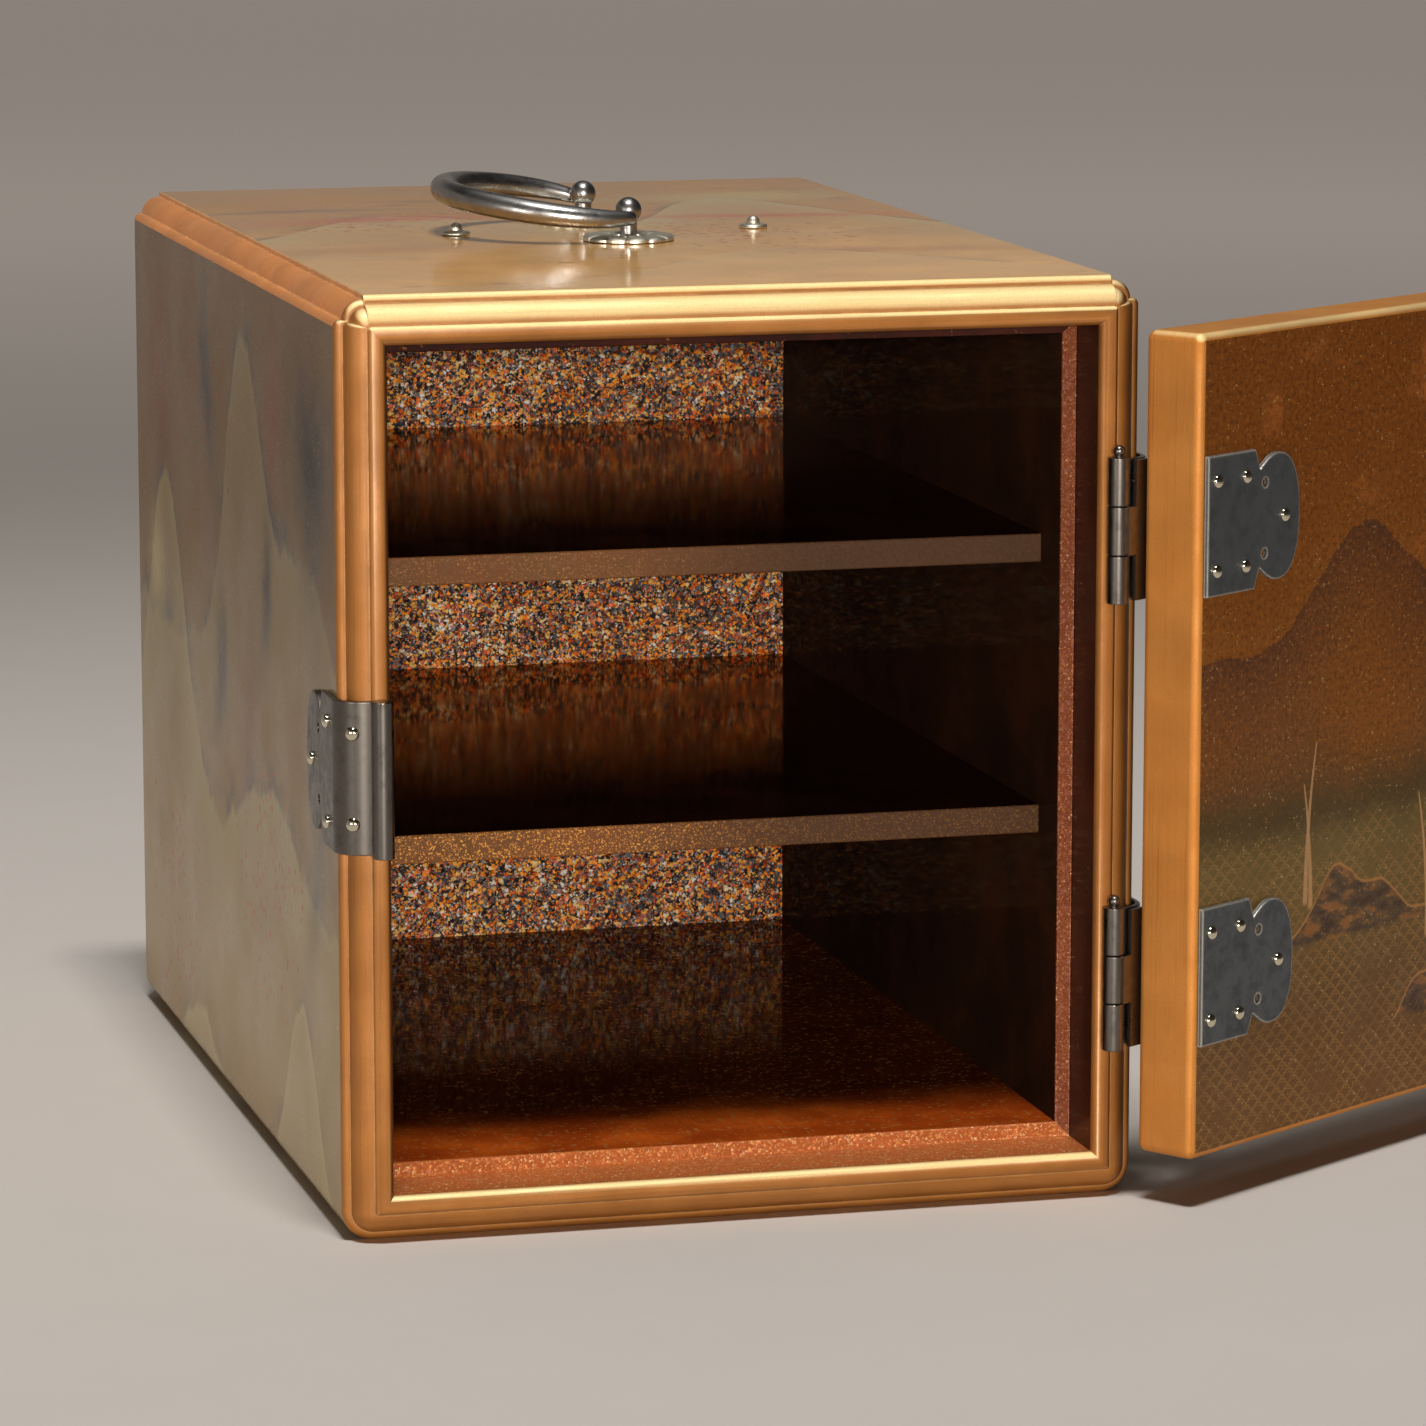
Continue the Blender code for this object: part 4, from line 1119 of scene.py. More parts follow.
@dataclass(frozen=True)
class CaseShell:
    """The hollow case: moulded front rim and top edges, rebate, stop strip and cavity."""

    width: float = 0.08
    depth: float = 0.1164
    height: float = 0.0918
    wall: float = 0.0062
    back_wall: float = 0.0051
    bottom_radius: float = 0.003
    rim: float = 0.0047
    moulding: float = 0.003
    bead: float = 0.00065
    quirk: float = 0.0002
    riser: float = 0.0005
    chamfer: float = 0.00015
    corner_shrink: float = 0.12
    rebate: float = 0.00765
    arris: float = 0.0002
    ring_round: float = 0.00085
    ring_steps: int = 7
    crown_steps: int = 7
    back_round: float = 0.0005
    back_steps: int = 5
    arc_steps: int = 12
    bead_steps: int = 7

    @property
    def front(self) -> float:
        """The front plane."""
        return -self.depth / 2

    @property
    def back(self) -> float:
        """The back plane."""
        return self.depth / 2

    @property
    def opening_half(self) -> float:
        """Half the width of the opening that the door fills."""
        return self.width / 2 - self.rim

    @property
    def cavity_half(self) -> float:
        """Half the width inside."""
        return self.width / 2 - self.wall

    @property
    def cavity_back(self) -> float:
        """Where the inside ends."""
        return self.back - self.back_wall

    def profile(self) -> list[Pair]:
        """Give the moulding as (inset, drop) pairs, from the side panel to the top."""
        points = []
        for sine, cosine in quarter(self.bead_steps):
            points.append((self.bead * (1 - cosine), self.moulding - self.bead * sine))
        inner = self.moulding - self.chamfer
        across = inner - self.bead - self.quirk
        tall = self.moulding - self.bead - self.riser
        for sine, cosine in quarter(self.arc_steps):
            points.append((inner - across * cosine, self.moulding - self.bead - tall * sine))
        soft = self.chamfer * 0.3
        return points + [(inner, self.chamfer), (inner + soft, soft), (self.moulding, 0.0)]

    def outline(self, inset: float) -> list[Pair]:
        """Give the case's section at an inset, as (x, z) pairs from the right foot up and around."""
        share = max(1 - inset / self.moulding, self.corner_shrink)
        half, top = self.width / 2 - inset, self.height - inset
        radius = self.bottom_radius * share
        right = []
        for sine, cosine in quarter(self.arc_steps):
            right.append((half - radius * (1 - sine), inset + radius * (1 - cosine)))
        right += [(half - across * share, top - down * share) for across, down in self.profile()]
        return right + [(-x, z) for x, z in reversed(right)]

    def segment_finish(self, segment: int) -> int:
        """Give the finish number of a segment of the outline behind the front moulding."""
        half_count = len(self.outline(0.0)) // 2
        last = 2 * half_count - 1
        if segment == half_count - 1:
            return Skin.TOP
        if segment == last:
            return Skin.UNDERSIDE
        if self.arc_steps < segment < half_count - 1 or half_count - 1 < segment < last - self.arc_steps - 1:
            return Skin.LONG_EDGE
        return Skin.RIGHT if segment < half_count else Skin.LEFT

    def frame_ring(self, inset: float, y: float) -> list[Triple]:
        """Give the four corners of the opening at an inset, from the left foot around."""
        half, low, high = self.width / 2 - inset, inset, self.height - inset
        return [(-half, y, low), (half, y, low), (half, y, high), (-half, y, high)]

    def outside(self, maker: Maker) -> list[int]:
        """Add the outer skin, and give the ring where the front's bead starts."""
        rings = [
            maker.ring([(x, self.front + drop, z) for x, z in self.outline(inset)])
            for inset, drop in reversed(self.profile()[:-3])
        ]
        for low, high in zip(rings, rings[1:]):
            maker.bridge(low, high, Skin.RIM)
        last = rings[-1]
        for sine, cosine in quarter(self.back_steps):
            y = self.back - self.back_round * (1 - sine)
            ring = maker.ring([(x, y, z) for x, z in self.outline(self.back_round * (1 - cosine))])
            maker.bridge(last, ring, self.segment_finish)
            last = ring
        maker.face(last, Skin.BACK)
        return rings[0]

    def opening(self, maker: Maker, flat_ring: list[int]) -> None:
        """Add the bead around the opening, the rebate, the stop strip and the cavity."""
        start = self.rim - self.ring_round
        foot = self.moulding - self.chamfer
        last = flat_ring
        for sine, cosine in quarter(self.crown_steps, 1):
            inset = start - (start - foot) * cosine
            half, low, high = self.width / 2 - inset, inset, self.height - inset
            y = self.front + self.riser * (1 - sine)
            points = [maker.points[number] for number in last]
            ring = maker.ring([(max(-half, min(half, p.x)), y, max(low, min(high, p.z))) for p in points])
            maker.bridge(last, ring, Skin.RIM)
            last = ring
        stop = self.front + self.rebate
        soft = self.arris * SOFT
        stations = []
        for sine, cosine in quarter(self.ring_steps):
            inset, drop = self.ring_round * (1 - sine), self.ring_round * (1 - cosine)
            stations.append((self.rim - inset, self.front + drop, Skin.RIM))
        stations += [
            (self.rim, stop - self.arris, Skin.REBATE),
            (self.rim + soft, stop - soft, Skin.REBATE),
            (self.rim + self.arris, stop, Skin.STRIP),
            (self.wall - self.arris, stop, Skin.STRIP),
            (self.wall - soft, stop + soft, Skin.STRIP),
            (self.wall, stop + self.arris, Skin.STRIP),
            (self.wall, self.cavity_back, Skin.INSIDE),
        ]
        rings = [maker.ring(self.frame_ring(inset, y)) for inset, y, _ in stations]
        for i in range(1, len(rings)):
            finish = stations[i][2]
            # The up-facing bottoms of the rebate and strip take the lighter sill strip, painted light from
            # above; the strip's down-facing top takes the dark rebate lacquer, painted shade.
            low = {Skin.INSIDE: Skin.FLOOR, Skin.RIM: Skin.RIM}.get(finish, Skin.SILL)
            high = Skin.REBATE if finish is Skin.STRIP else finish
            sides = (low, finish, high, finish)
            maker.bridge(rings[i - 1], rings[i], lambda side: sides[side])
        maker.face(rings[-1], Skin.BACK_WALL)

    def finishes(self) -> list[Finish]:
        """Give the case's finishes in the order of Skin."""
        return [
            # The rim is given painted shade where it faces right.
            GoldRim("gold_rim", shade=0.8, frame=(self.width / 2, self.height / 2)),
            PictureLacquer(
                "left_panel", plane=Plane.SIDE, hills=SIDE_HILLS, sprays=SIDE_SPRAYS, strokes=SIDE_STROKES
            ),
            PictureLacquer(
                "right_panel", plane=Plane.SIDE, hills=SIDE_HILLS, sprays=SIDE_SPRAYS,
                strokes=SIDE_STROKES[:5], mirrored=-1.0,
            ),
            PictureLacquer(
                "top_panel", plane=Plane.TOP, ground=TOP_GROUND, ground_span=(self.back, self.front),
                hills=TOP_HILLS, sprays=TOP_SPRAYS, strokes=TOP_STROKES, metal=0.15, coat=0.8,
                coat_rough=0.1,
            ),
            PictureLacquer(
                "back_panel", plane=Plane.FRONT, ground=BACK_GROUND, hills=SIDE_HILLS[1:],
                sprays=SIDE_SPRAYS[:1],
            ),
            DarkLacquer("underside_lacquer", rough=0.25),
            DarkLacquer(
                "rebate_lacquer", colour="2a1009", glow="4a1d0e", cover=0.2, rough=0.35, coat=0.1, gloss=0.1
            ),
            SpeckledStrip(
                "stop_strip", ground="6a341c", pitch=0.00024, cover=0.42,
                specks=((0.0, "743c20"), (0.35, "8c5230"), (0.72, "a86c46"), (0.93, "c89870")),
            ),
            DarkLacquer(
                "inside_walls", colour="22140c", glow="391f11", fleck="4a2a14", cover=0.1,
                along=(1.0, 0.03, 1.0), rough=0.5, coat=0.1, gloss=0.0,
            ),
            # The inside floor is painted darker behind its front strip: a painted shadow.
            DarkLacquer(
                "inside_floor", colour="80300a", glow="b45416", fleck="e09a54", cover=0.34, coat=0.55,
                gloss=0.0, painted_shadow_span=(-0.04, -0.03),
            ),
            DenseFlakes("back_wall_flakes"),
            # A lighter copy of the stop strip for the bottom of the rebate: painted light from above.
            SpeckledStrip(
                "sill_strip", ground="a85828", pitch=0.0003, cover=0.4, glow=0.5,
                specks=((0.0, "b46c38"), (0.4, "c8884c"), (0.75, "dcaa74"), (0.94, "f0d0a0")),
            ),
            # A brighter, more orange copy of the rim gold with fully pale arrises, for the long top edges:
            # partly their own tone, partly painted light.
            GoldRim("gold_long_edges", light="fcac68", deep="e89850", arris=1.0),
        ]

    def build(self) -> None:
        """Model and dress the case."""
        maker = Maker()
        self.opening(maker, self.outside(maker))
        dress(maker.piece("lacquer_case"), Body.CASE, ["case"], self.finishes())


class Skin(IntEnum):
    """Finish numbers on the case."""

    RIM = 0
    LEFT = 1
    RIGHT = 2
    TOP = 3
    BACK = 4
    UNDERSIDE = 5
    REBATE = 6
    STRIP = 7
    INSIDE = 8
    FLOOR = 9
    BACK_WALL = 10
    SILL = 11
    LONG_EDGE = 12


def rounded_slab(
    maker: Maker, low: Point, high: Point, radius: float, steps: int,
    finish: "Callable[[Vector], int]"
) -> None:
    """Add a slab whose edges and corners are all rounded.

    Args:
        maker: Collects the faces.
        low: The lowest corner.
        high: The highest corner.
        radius: The radius of the edges.
        steps: Facets in a quarter of an edge.
        finish: Gives the finish number for a face's outward direction.
    """
    bm = bmesh.new()
    ends = list(zip(low, high))
    corners = [bm.verts.new((x, y, z)) for z in ends[2] for y in ends[1] for x in ends[0]]
    for numbers in ((0, 1, 3, 2), (4, 5, 7, 6), (0, 1, 5, 4), (2, 3, 7, 6), (0, 2, 6, 4), (1, 3, 7, 5)):
        bm.faces.new([corners[i] for i in numbers])
    bmesh.ops.recalc_face_normals(bm, faces=bm.faces)
    bmesh.ops.bevel(bm, geom=list(bm.edges), offset=radius, segments=steps, profile=0.5, affect="EDGES")
    bm.verts.index_update()
    bm.normal_update()
    start = len(maker.points)
    maker.points += [vert.co.copy() for vert in bm.verts]
    for face in bm.faces:
        maker.face([start + vert.index for vert in face.verts], finish(face.normal))
    bm.free()


@dataclass(frozen=True)
class Shelves:
    """The two fixed shelves."""

    case: CaseShell
    thickness: float = 0.0029
    lower_room: float = 0.0283
    middle_room: float = 0.0246
    setback: float = 0.014
    bite: float = 0.0003
    edge: float = 0.00022

    def finishes(self, name: str, warm: str, cool: str) -> list[Finish]:
        """Give a shelf's polished faces and its sprinkled front edge."""
        specks = ((0.0, cool), (0.35, warm), (0.9, "a87848"))
        return [
            DarkLacquer(
                "shelf_lacquer", colour="24120a", glow="3a1e0e", cover=0.12, rough=0.05, coat=0.04,
                gloss=0.0, amber="ffd0a4", amber_share=(0.36, 0.82),
            ),
            SpeckledStrip(
                "shelf_edge_" + name, ground="684626", specks=specks, pitch=0.0002, cover=0.36, glow=0.4,
                far_side="3e2a1c", far_share=0.85, tilt=0.12, coat=0.12, metal=0.2,
            ),
        ]

    def build(self) -> None:
        """Model and dress both shelves."""
        case = self.case
        lower = case.wall + self.lower_room
        upper = lower + self.thickness + self.middle_room
        half = case.cavity_half + self.bite
        rows = (("lower", lower, "eaa444", "c47e3a"), ("upper", upper, "94623a", "6e4c32"))
        for name, base, warm, cool in rows:
            maker = Maker()
            low = (-half, case.front + self.setback, base)
            high = (half, case.cavity_back + self.bite, base + self.thickness)
            rounded_slab(maker, low, high, self.edge, 3, lambda facing: 1 if facing.y < -0.3 else 0)
            piece = maker.piece("lacquer_shelf_" + name)
            dress(piece, Body.CASE, ["shelf_" + name], self.finishes(name, warm, cool))


@dataclass(frozen=True)
class DoorHang:
    """Where the door hangs and how far it stands open."""

    case: CaseShell
    beside: float = 0.0015
    forward: float = 0.0014
    open_angle: float = radians(214.3)
    from_bottom: float = 0.0226
    from_top: float = 0.0246

    @property
    def x(self) -> float:
        """Where the axis stands across."""
        return self.case.opening_half + self.beside

    @property
    def y(self) -> float:
        """Where the axis stands from front to back."""
        return self.case.front - self.forward

    @property
    def stand(self) -> Stand:
        """The axis and turn that the door's finishes are taken back by."""
        return Stand(self.x, self.y, self.open_angle)

    @property
    def heights(self) -> dict[str, float]:
        """The heights of the two hinges."""
        return {"lower": self.from_bottom, "upper": self.case.height - self.from_top}

    def swung(self, height: float = 0.0) -> Matrix:
        """Give the place of the door's pieces at rest, about the axis."""
        turn = Matrix.Rotation(self.open_angle, 4, "Z")
        return Matrix.Translation((self.x, self.y, 0)) @ turn @ Matrix.Translation((0, 0, height))

    def standing(self, height: float) -> Matrix:
        """Give the place of the case's hinge pieces."""
        return Matrix.Translation((self.x, self.y, height))


@dataclass(frozen=True)
class Door:
    """The slab door with its painted faces."""

    hang: DoorHang
    thickness: float = 0.0069
    clearance: float = 0.0005
    end_clearance: float = 0.0003
    radius: float = 0.00094
    steps: int = 6

    @property
    def edge(self) -> float:
        """The hinge edge, counted from the axis."""
        return self.hang.case.opening_half - self.clearance - self.hang.x

    def finishes(self) -> list[Finish]:
        """Give the finishes of the edges, the inner face and the outer face."""
        stand = self.hang.stand
        inner = WaterPicture(
            "door_inner_face", stand, plane=Plane.FRONT, ground=DOOR_GROUND, ground_span=(0.0871, 0.0047),
            hills=CLOUDS, rust="a8602a", rust_amount=0.75, metal=0.3, coat=0.35, reeds=REEDS, rocks=ROCKS,
        )
        outer = PictureLacquer(
            "door_outer_face", stand, plane=Plane.FRONT, hills=OUTER_HILLS, sprays=OUTER_SPRAYS
        )
        edges = GoldRim(
            "door_edge_gold", stand, light="dc984c", deep="c8843c", rough=0.66, coat=0.15, arris=0.0
        )
        return [edges, inner, outer]

    @staticmethod
    def face_finish(facing: Vector) -> int:
        """Give 1 for the inner face, 2 for the outer face and 0 for the edges."""
        if facing.y > 0.95:
            return 1
        return 2 if facing.y < -0.95 else 0

    def build(self) -> None:
        """Model and dress the door."""
        case, hang = self.hang.case, self.hang
        low = (-case.opening_half + self.clearance - hang.x, hang.forward, case.rim + self.end_clearance)
        high = (self.edge, hang.forward + self.thickness, case.height - case.rim - self.end_clearance)
        maker = Maker()
        rounded_slab(maker, low, high, self.radius, self.steps, self.face_finish)
        piece = maker.piece("lacquer_door", hang.swung())
        dress(piece, Body.DOOR, ["door"], self.finishes())


@dataclass(frozen=True)
class SilverSheet:
    """The outline of the silver plates: a notch, then a lobe, towards the far end."""

    thickness: float = 0.0005
    gap: float = 0.0001
    half_height: float = 0.0069
    notch_at: float = 0.0066
    notch_run: float = 0.0008
    notch_half: float = 0.0049
    peak_at: float = 0.0037
    lobe_half: float = 0.0063
    end_half: float = 0.001
    power: float = 2.4
    bevel: float = 0.00014
    pierce_radius: float = 0.0005
    pierce_at: float = 0.0058
    pierce_aside: float = 0.0035
    lobe_steps: int = 16
    notch_steps: int = 6

    def half_at(self, to_end: float) -> float:
        """Give half the height of the sheet at a distance from its lobed end."""
        if to_end >= self.notch_at + self.notch_run:
            return self.half_height
        if to_end >= self.notch_at:
            share = (to_end - self.notch_at) / self.notch_run
            return self.notch_half + (self.half_height - self.notch_half) * share
        if to_end >= self.peak_at:
            share = (self.notch_at - to_end) / (self.notch_at - self.peak_at)
            return self.notch_half + (self.lobe_half - self.notch_half) * sin(share * pi / 2)
        across = 1 - to_end / self.peak_at
        share = max(0.0, 1 - across**self.power) ** (1 / self.power)
        return max(self.lobe_half * share, self.end_half)

    def stops(self, length: float) -> list[float]:
        """Give the distances along a sheet where its outline turns."""
        from_end = [self.notch_at + self.notch_run, self.notch_at]
        run = self.notch_at - self.peak_at
        from_end += [self.notch_at - run * i / self.notch_steps for i in range(1, self.notch_steps)]
        from_end += [self.peak_at * (1 - sine) for sine, _ in quarter(self.lobe_steps)]
        return [length - distance for distance in from_end]

    def loop(self, distances: Point, length: float, growth: float, inset: float) -> list[Pair]:
        """Give the sheet's outline, drawn in by an inset, as (distance, height) pairs.

        Args:
            distances: Where the outline has points.
            length: The length of the sheet.
            growth: How much taller than the plain outline it is.
            inset: How far the outline is drawn in.

        Returns:
            The upper line from start to end, then the lower line back.
        """
        upper = [Vector((d, growth * self.half_at(length - d))) for d in distances]
        closed = upper + [Vector((p.x, -p.y)) for p in reversed(upper)]
        if inset == 0:
            return [tuple(point) for point in closed]
        drawn = []
        count = len(closed)
        for i, point in enumerate(closed):
            before = (point - closed[i - 1]).normalized()
            after = (closed[(i + 1) % count] - point).normalized()
            inward = Vector((before.y + after.y, -before.x - after.x)).normalized()
            facing = Vector((before.y, -before.x))
            drawn.append(tuple(point + inward * inset / max(inward.dot(facing), 0.5)))
        return drawn

    def plate(
        self, distances: Point, length: float, bend: Callable[[float, float], Pair],
        growth: float = 1.0
    ) -> Maker:
        """Make a closed sheet with a bevelled outer edge.

        Args:
            distances: Where the outline has points.
            length: The length of the sheet.
            bend: Gives (x, y) for a distance along the sheet and a height off its back.
            growth: How much taller than the plain outline it is.

        Returns:
            What holds its faces.
        """
        maker = Maker()
        soft, top = self.bevel * SOFT, self.thickness
        rings = []
        for inset, lift in ((0.0, 0.0), (0.0, top - self.bevel), (soft, top - soft), (self.bevel, top)):
            loop = self.loop(distances, length, growth, inset)
            rings.append(maker.ring([(*bend(d, lift), h) for d, h in loop]))
        for low, high in zip(rings, rings[1:]):
            maker.bridge(low, high)
        count = len(rings[0])
        for ring in (rings[0], rings[-1]):
            for i in range(count // 2 - 1):
                maker.face((ring[i], ring[i + 1], ring[count - 2 - i], ring[count - 1 - i]))
        return maker

    def punches(self, matrix: Matrix, point: Point, outward: Point) -> list[Item]:
        """Make the two tools that pierce a sheet beside its notches."""
        tools = []
        turn = Vector((0, 0, 1)).rotation_difference(Vector((*outward, 0))).to_matrix().to_4x4()
        for height in (self.pierce_aside, -self.pierce_aside):
            maker = Maker()
            maker.turn([(self.pierce_radius, -self.notch_run), (self.pierce_radius, self.notch_run)], 24)
            tools.append(maker.piece("punch", matrix @ Matrix.Translation((*point, height)) @ turn))
        return tools


@dataclass(frozen=True)
class Nails:
    """Domed nail heads, each a little different, and the gap under them."""

    finish: Finish
    gap: float
    radius: float = 0.0007
    height: float = 0.00042
    sides: int = 20
    steps: int = 6
    wobble: float = 0.03

    def row(
        self, sheet: str, places: Sequence[tuple[Point, Point, float]], matrix: Matrix, body: Body
    ) -> None:
        """Set a group of nails on a sheet.

        Args:
            sheet: The sheet's name, which the nails share.
            places: For each nail a point on the sheet's face, a side and a height.
            matrix: Where the sheet stands.
            body: The body that the nails move with.
        """
        name = "nails_" + sheet
        nodes = [f"nail_{sheet}_{number}" for number in range(1, len(places) + 1)]
        chance = random.Random(name)
        maker = Maker()
        for point, outward, height in places:
            start = len(maker.points)
            size = 1 - self.wobble * chance.random()
            profile = [(self.radius * size, -self.gap * 0.9)]
            for sine, cosine in quarter(self.steps):
                radius = max(self.radius * size * cosine, self.radius * 0.02)
                profile.append((radius, self.height * sine * (1 - self.wobble * chance.random() * 0.3)))
            maker.turn(profile, self.sides)
            turn = Vector((0, 0, 1)).rotation_difference(Vector((*outward, 0))).to_matrix()
            seat = Vector((*point, height)) + Vector((*outward, 0)) * self.gap
            for number in range(start, len(maker.points)):
                maker.points[number] = turn @ maker.points[number] + seat
        dress(maker.piece(name, matrix), body, nodes, [self.finish])


def nail_places(
    points: Sequence[Point], outward: Point, lobe: "Point | None", offset: float
) -> list[tuple[Point, Point, float]]:
    """Give pairs of nails at each point, and one in the middle of the lobe."""
    places = []
    for point in points:
        places += [(point, outward, offset), (point, outward, -offset)]
    return places + ([(lobe, outward, 0.0)] if lobe is not None else [])


@dataclass(frozen=True)
class Strap:
    """The path of a sheet that wraps the front moulding, from its barrel to the side of the case."""

    case: CaseShell
    sheet: SilverSheet
    side: int
    axis_x: float
    forward: float = 0.0014
    corner: float = 0.0024
    length_on_side: float = 0.0148
    bend_steps: int = 12

    @property
    def middle(self) -> Pair:
        """The centre of the bend, across from the axis and back from it."""
        return self.case.width / 2 - self.axis_x - self.corner, self.forward + self.corner

    @property
    def arc(self) -> float:
        """The length of the bend."""
        return self.corner * pi / 2

    @property
    def length(self) -> float:
        """The length of the whole strap."""
        return self.middle[0] + self.arc + self.length_on_side - self.corner

    @property
    def end(self) -> float:
        """How far back from the axis the strap ends."""
        return self.forward + self.length_on_side

    @property
    def side_face(self) -> float:
        """The outer face beside the case, across from the axis."""
        return self.side * (self.case.width / 2 - self.axis_x + self.sheet.gap + self.sheet.thickness)

    def distances(self) -> list[float]:
        """Give the distances along the strap where it has points."""
        bends = [self.middle[0] + self.arc * i / self.bend_steps for i in range(self.bend_steps + 1)]
        return [0.0] + bends + self.sheet.stops(self.length)

    def bend(self, distance: float, lift: float) -> Pair:
        """Give (x, y) about the axis for a distance along the strap and a height off its back."""
        start, back = self.middle
        radius = self.corner + self.sheet.gap + lift
        if distance <= start:
            return self.side * distance, self.forward - self.sheet.gap - lift
        if distance <= start + self.arc:
            angle = pi / 2 * (distance - start) / self.arc
            return self.side * (start + radius * sin(angle)), back - radius * cos(angle)
        return self.side * (start + radius), back + distance - start - self.arc


@dataclass(frozen=True)
class Barrel:
    """The rolled knuckles and pins of the hinges."""

    radius: float = 0.00105
    rise: float = 0.0003
    gap: float = 0.0001
    pin_radius: float = 0.00036
    ball_radius: float = 0.0006
    soft: float = 0.00012
    sides: int = 40

    def span(self, half_height: float, level: int) -> Pair:
        """Give the lowest and highest point of one of the three knuckles."""
        whole = 2 * (half_height + self.rise)
        height = (whole - 2 * self.gap) / 3
        low = -whole / 2 + level * (height + self.gap)
        return low, low + height

    def knuckle(self, maker: Maker, low: float, high: float) -> None:
        """Add one knuckle with softened ends."""
        soft, half = self.soft, self.soft * SOFT
        profile = [(self.radius - soft, low), (self.radius - half, low + half), (self.radius, low + soft)]
        profile += [(radius, low + high - height) for radius, height in reversed(profile)]
        maker.turn(profile, self.sides)

    def rooms(self, half_height: float, levels: Sequence[int], deep: float, matrix: Matrix) -> list[Item]:
        """Make the tools that clear the other leaf's knuckles out of a sheet."""
        tools = []
        reach = self.radius + self.gap
        for level in levels:
            low, high = self.span(half_height, level)
            low -= self.gap if level > 0 else self.radius
            high += self.gap if level < 2 else self.radius
            maker = Maker()
            corners = [(-reach, -reach), (reach, -reach), (reach, deep), (-reach, deep)]
            maker.loft([[(x, y, z) for x, y in corners] for z in (low, high)])
            tools.append(maker.piece("room", matrix))
        return tools

    def pin(self, half_height: float) -> Maker:
        """Give the pin with a small ball on its top."""
        bottom = -half_height - self.rise
        top = half_height + self.rise + self.gap
        centre = top + self.ball_radius * cos(asin(self.pin_radius / self.ball_radius))
        profile = [(self.pin_radius, bottom), (self.pin_radius, top)]
        for i in range(13):
            angle = radians(-52 + 142 * i / 12)
            radius = max(self.ball_radius * cos(angle), self.ball_radius * 0.02)
            profile.append((radius, centre + self.ball_radius * sin(angle)))
        maker = Maker()
        maker.turn(profile, 24)
        return maker


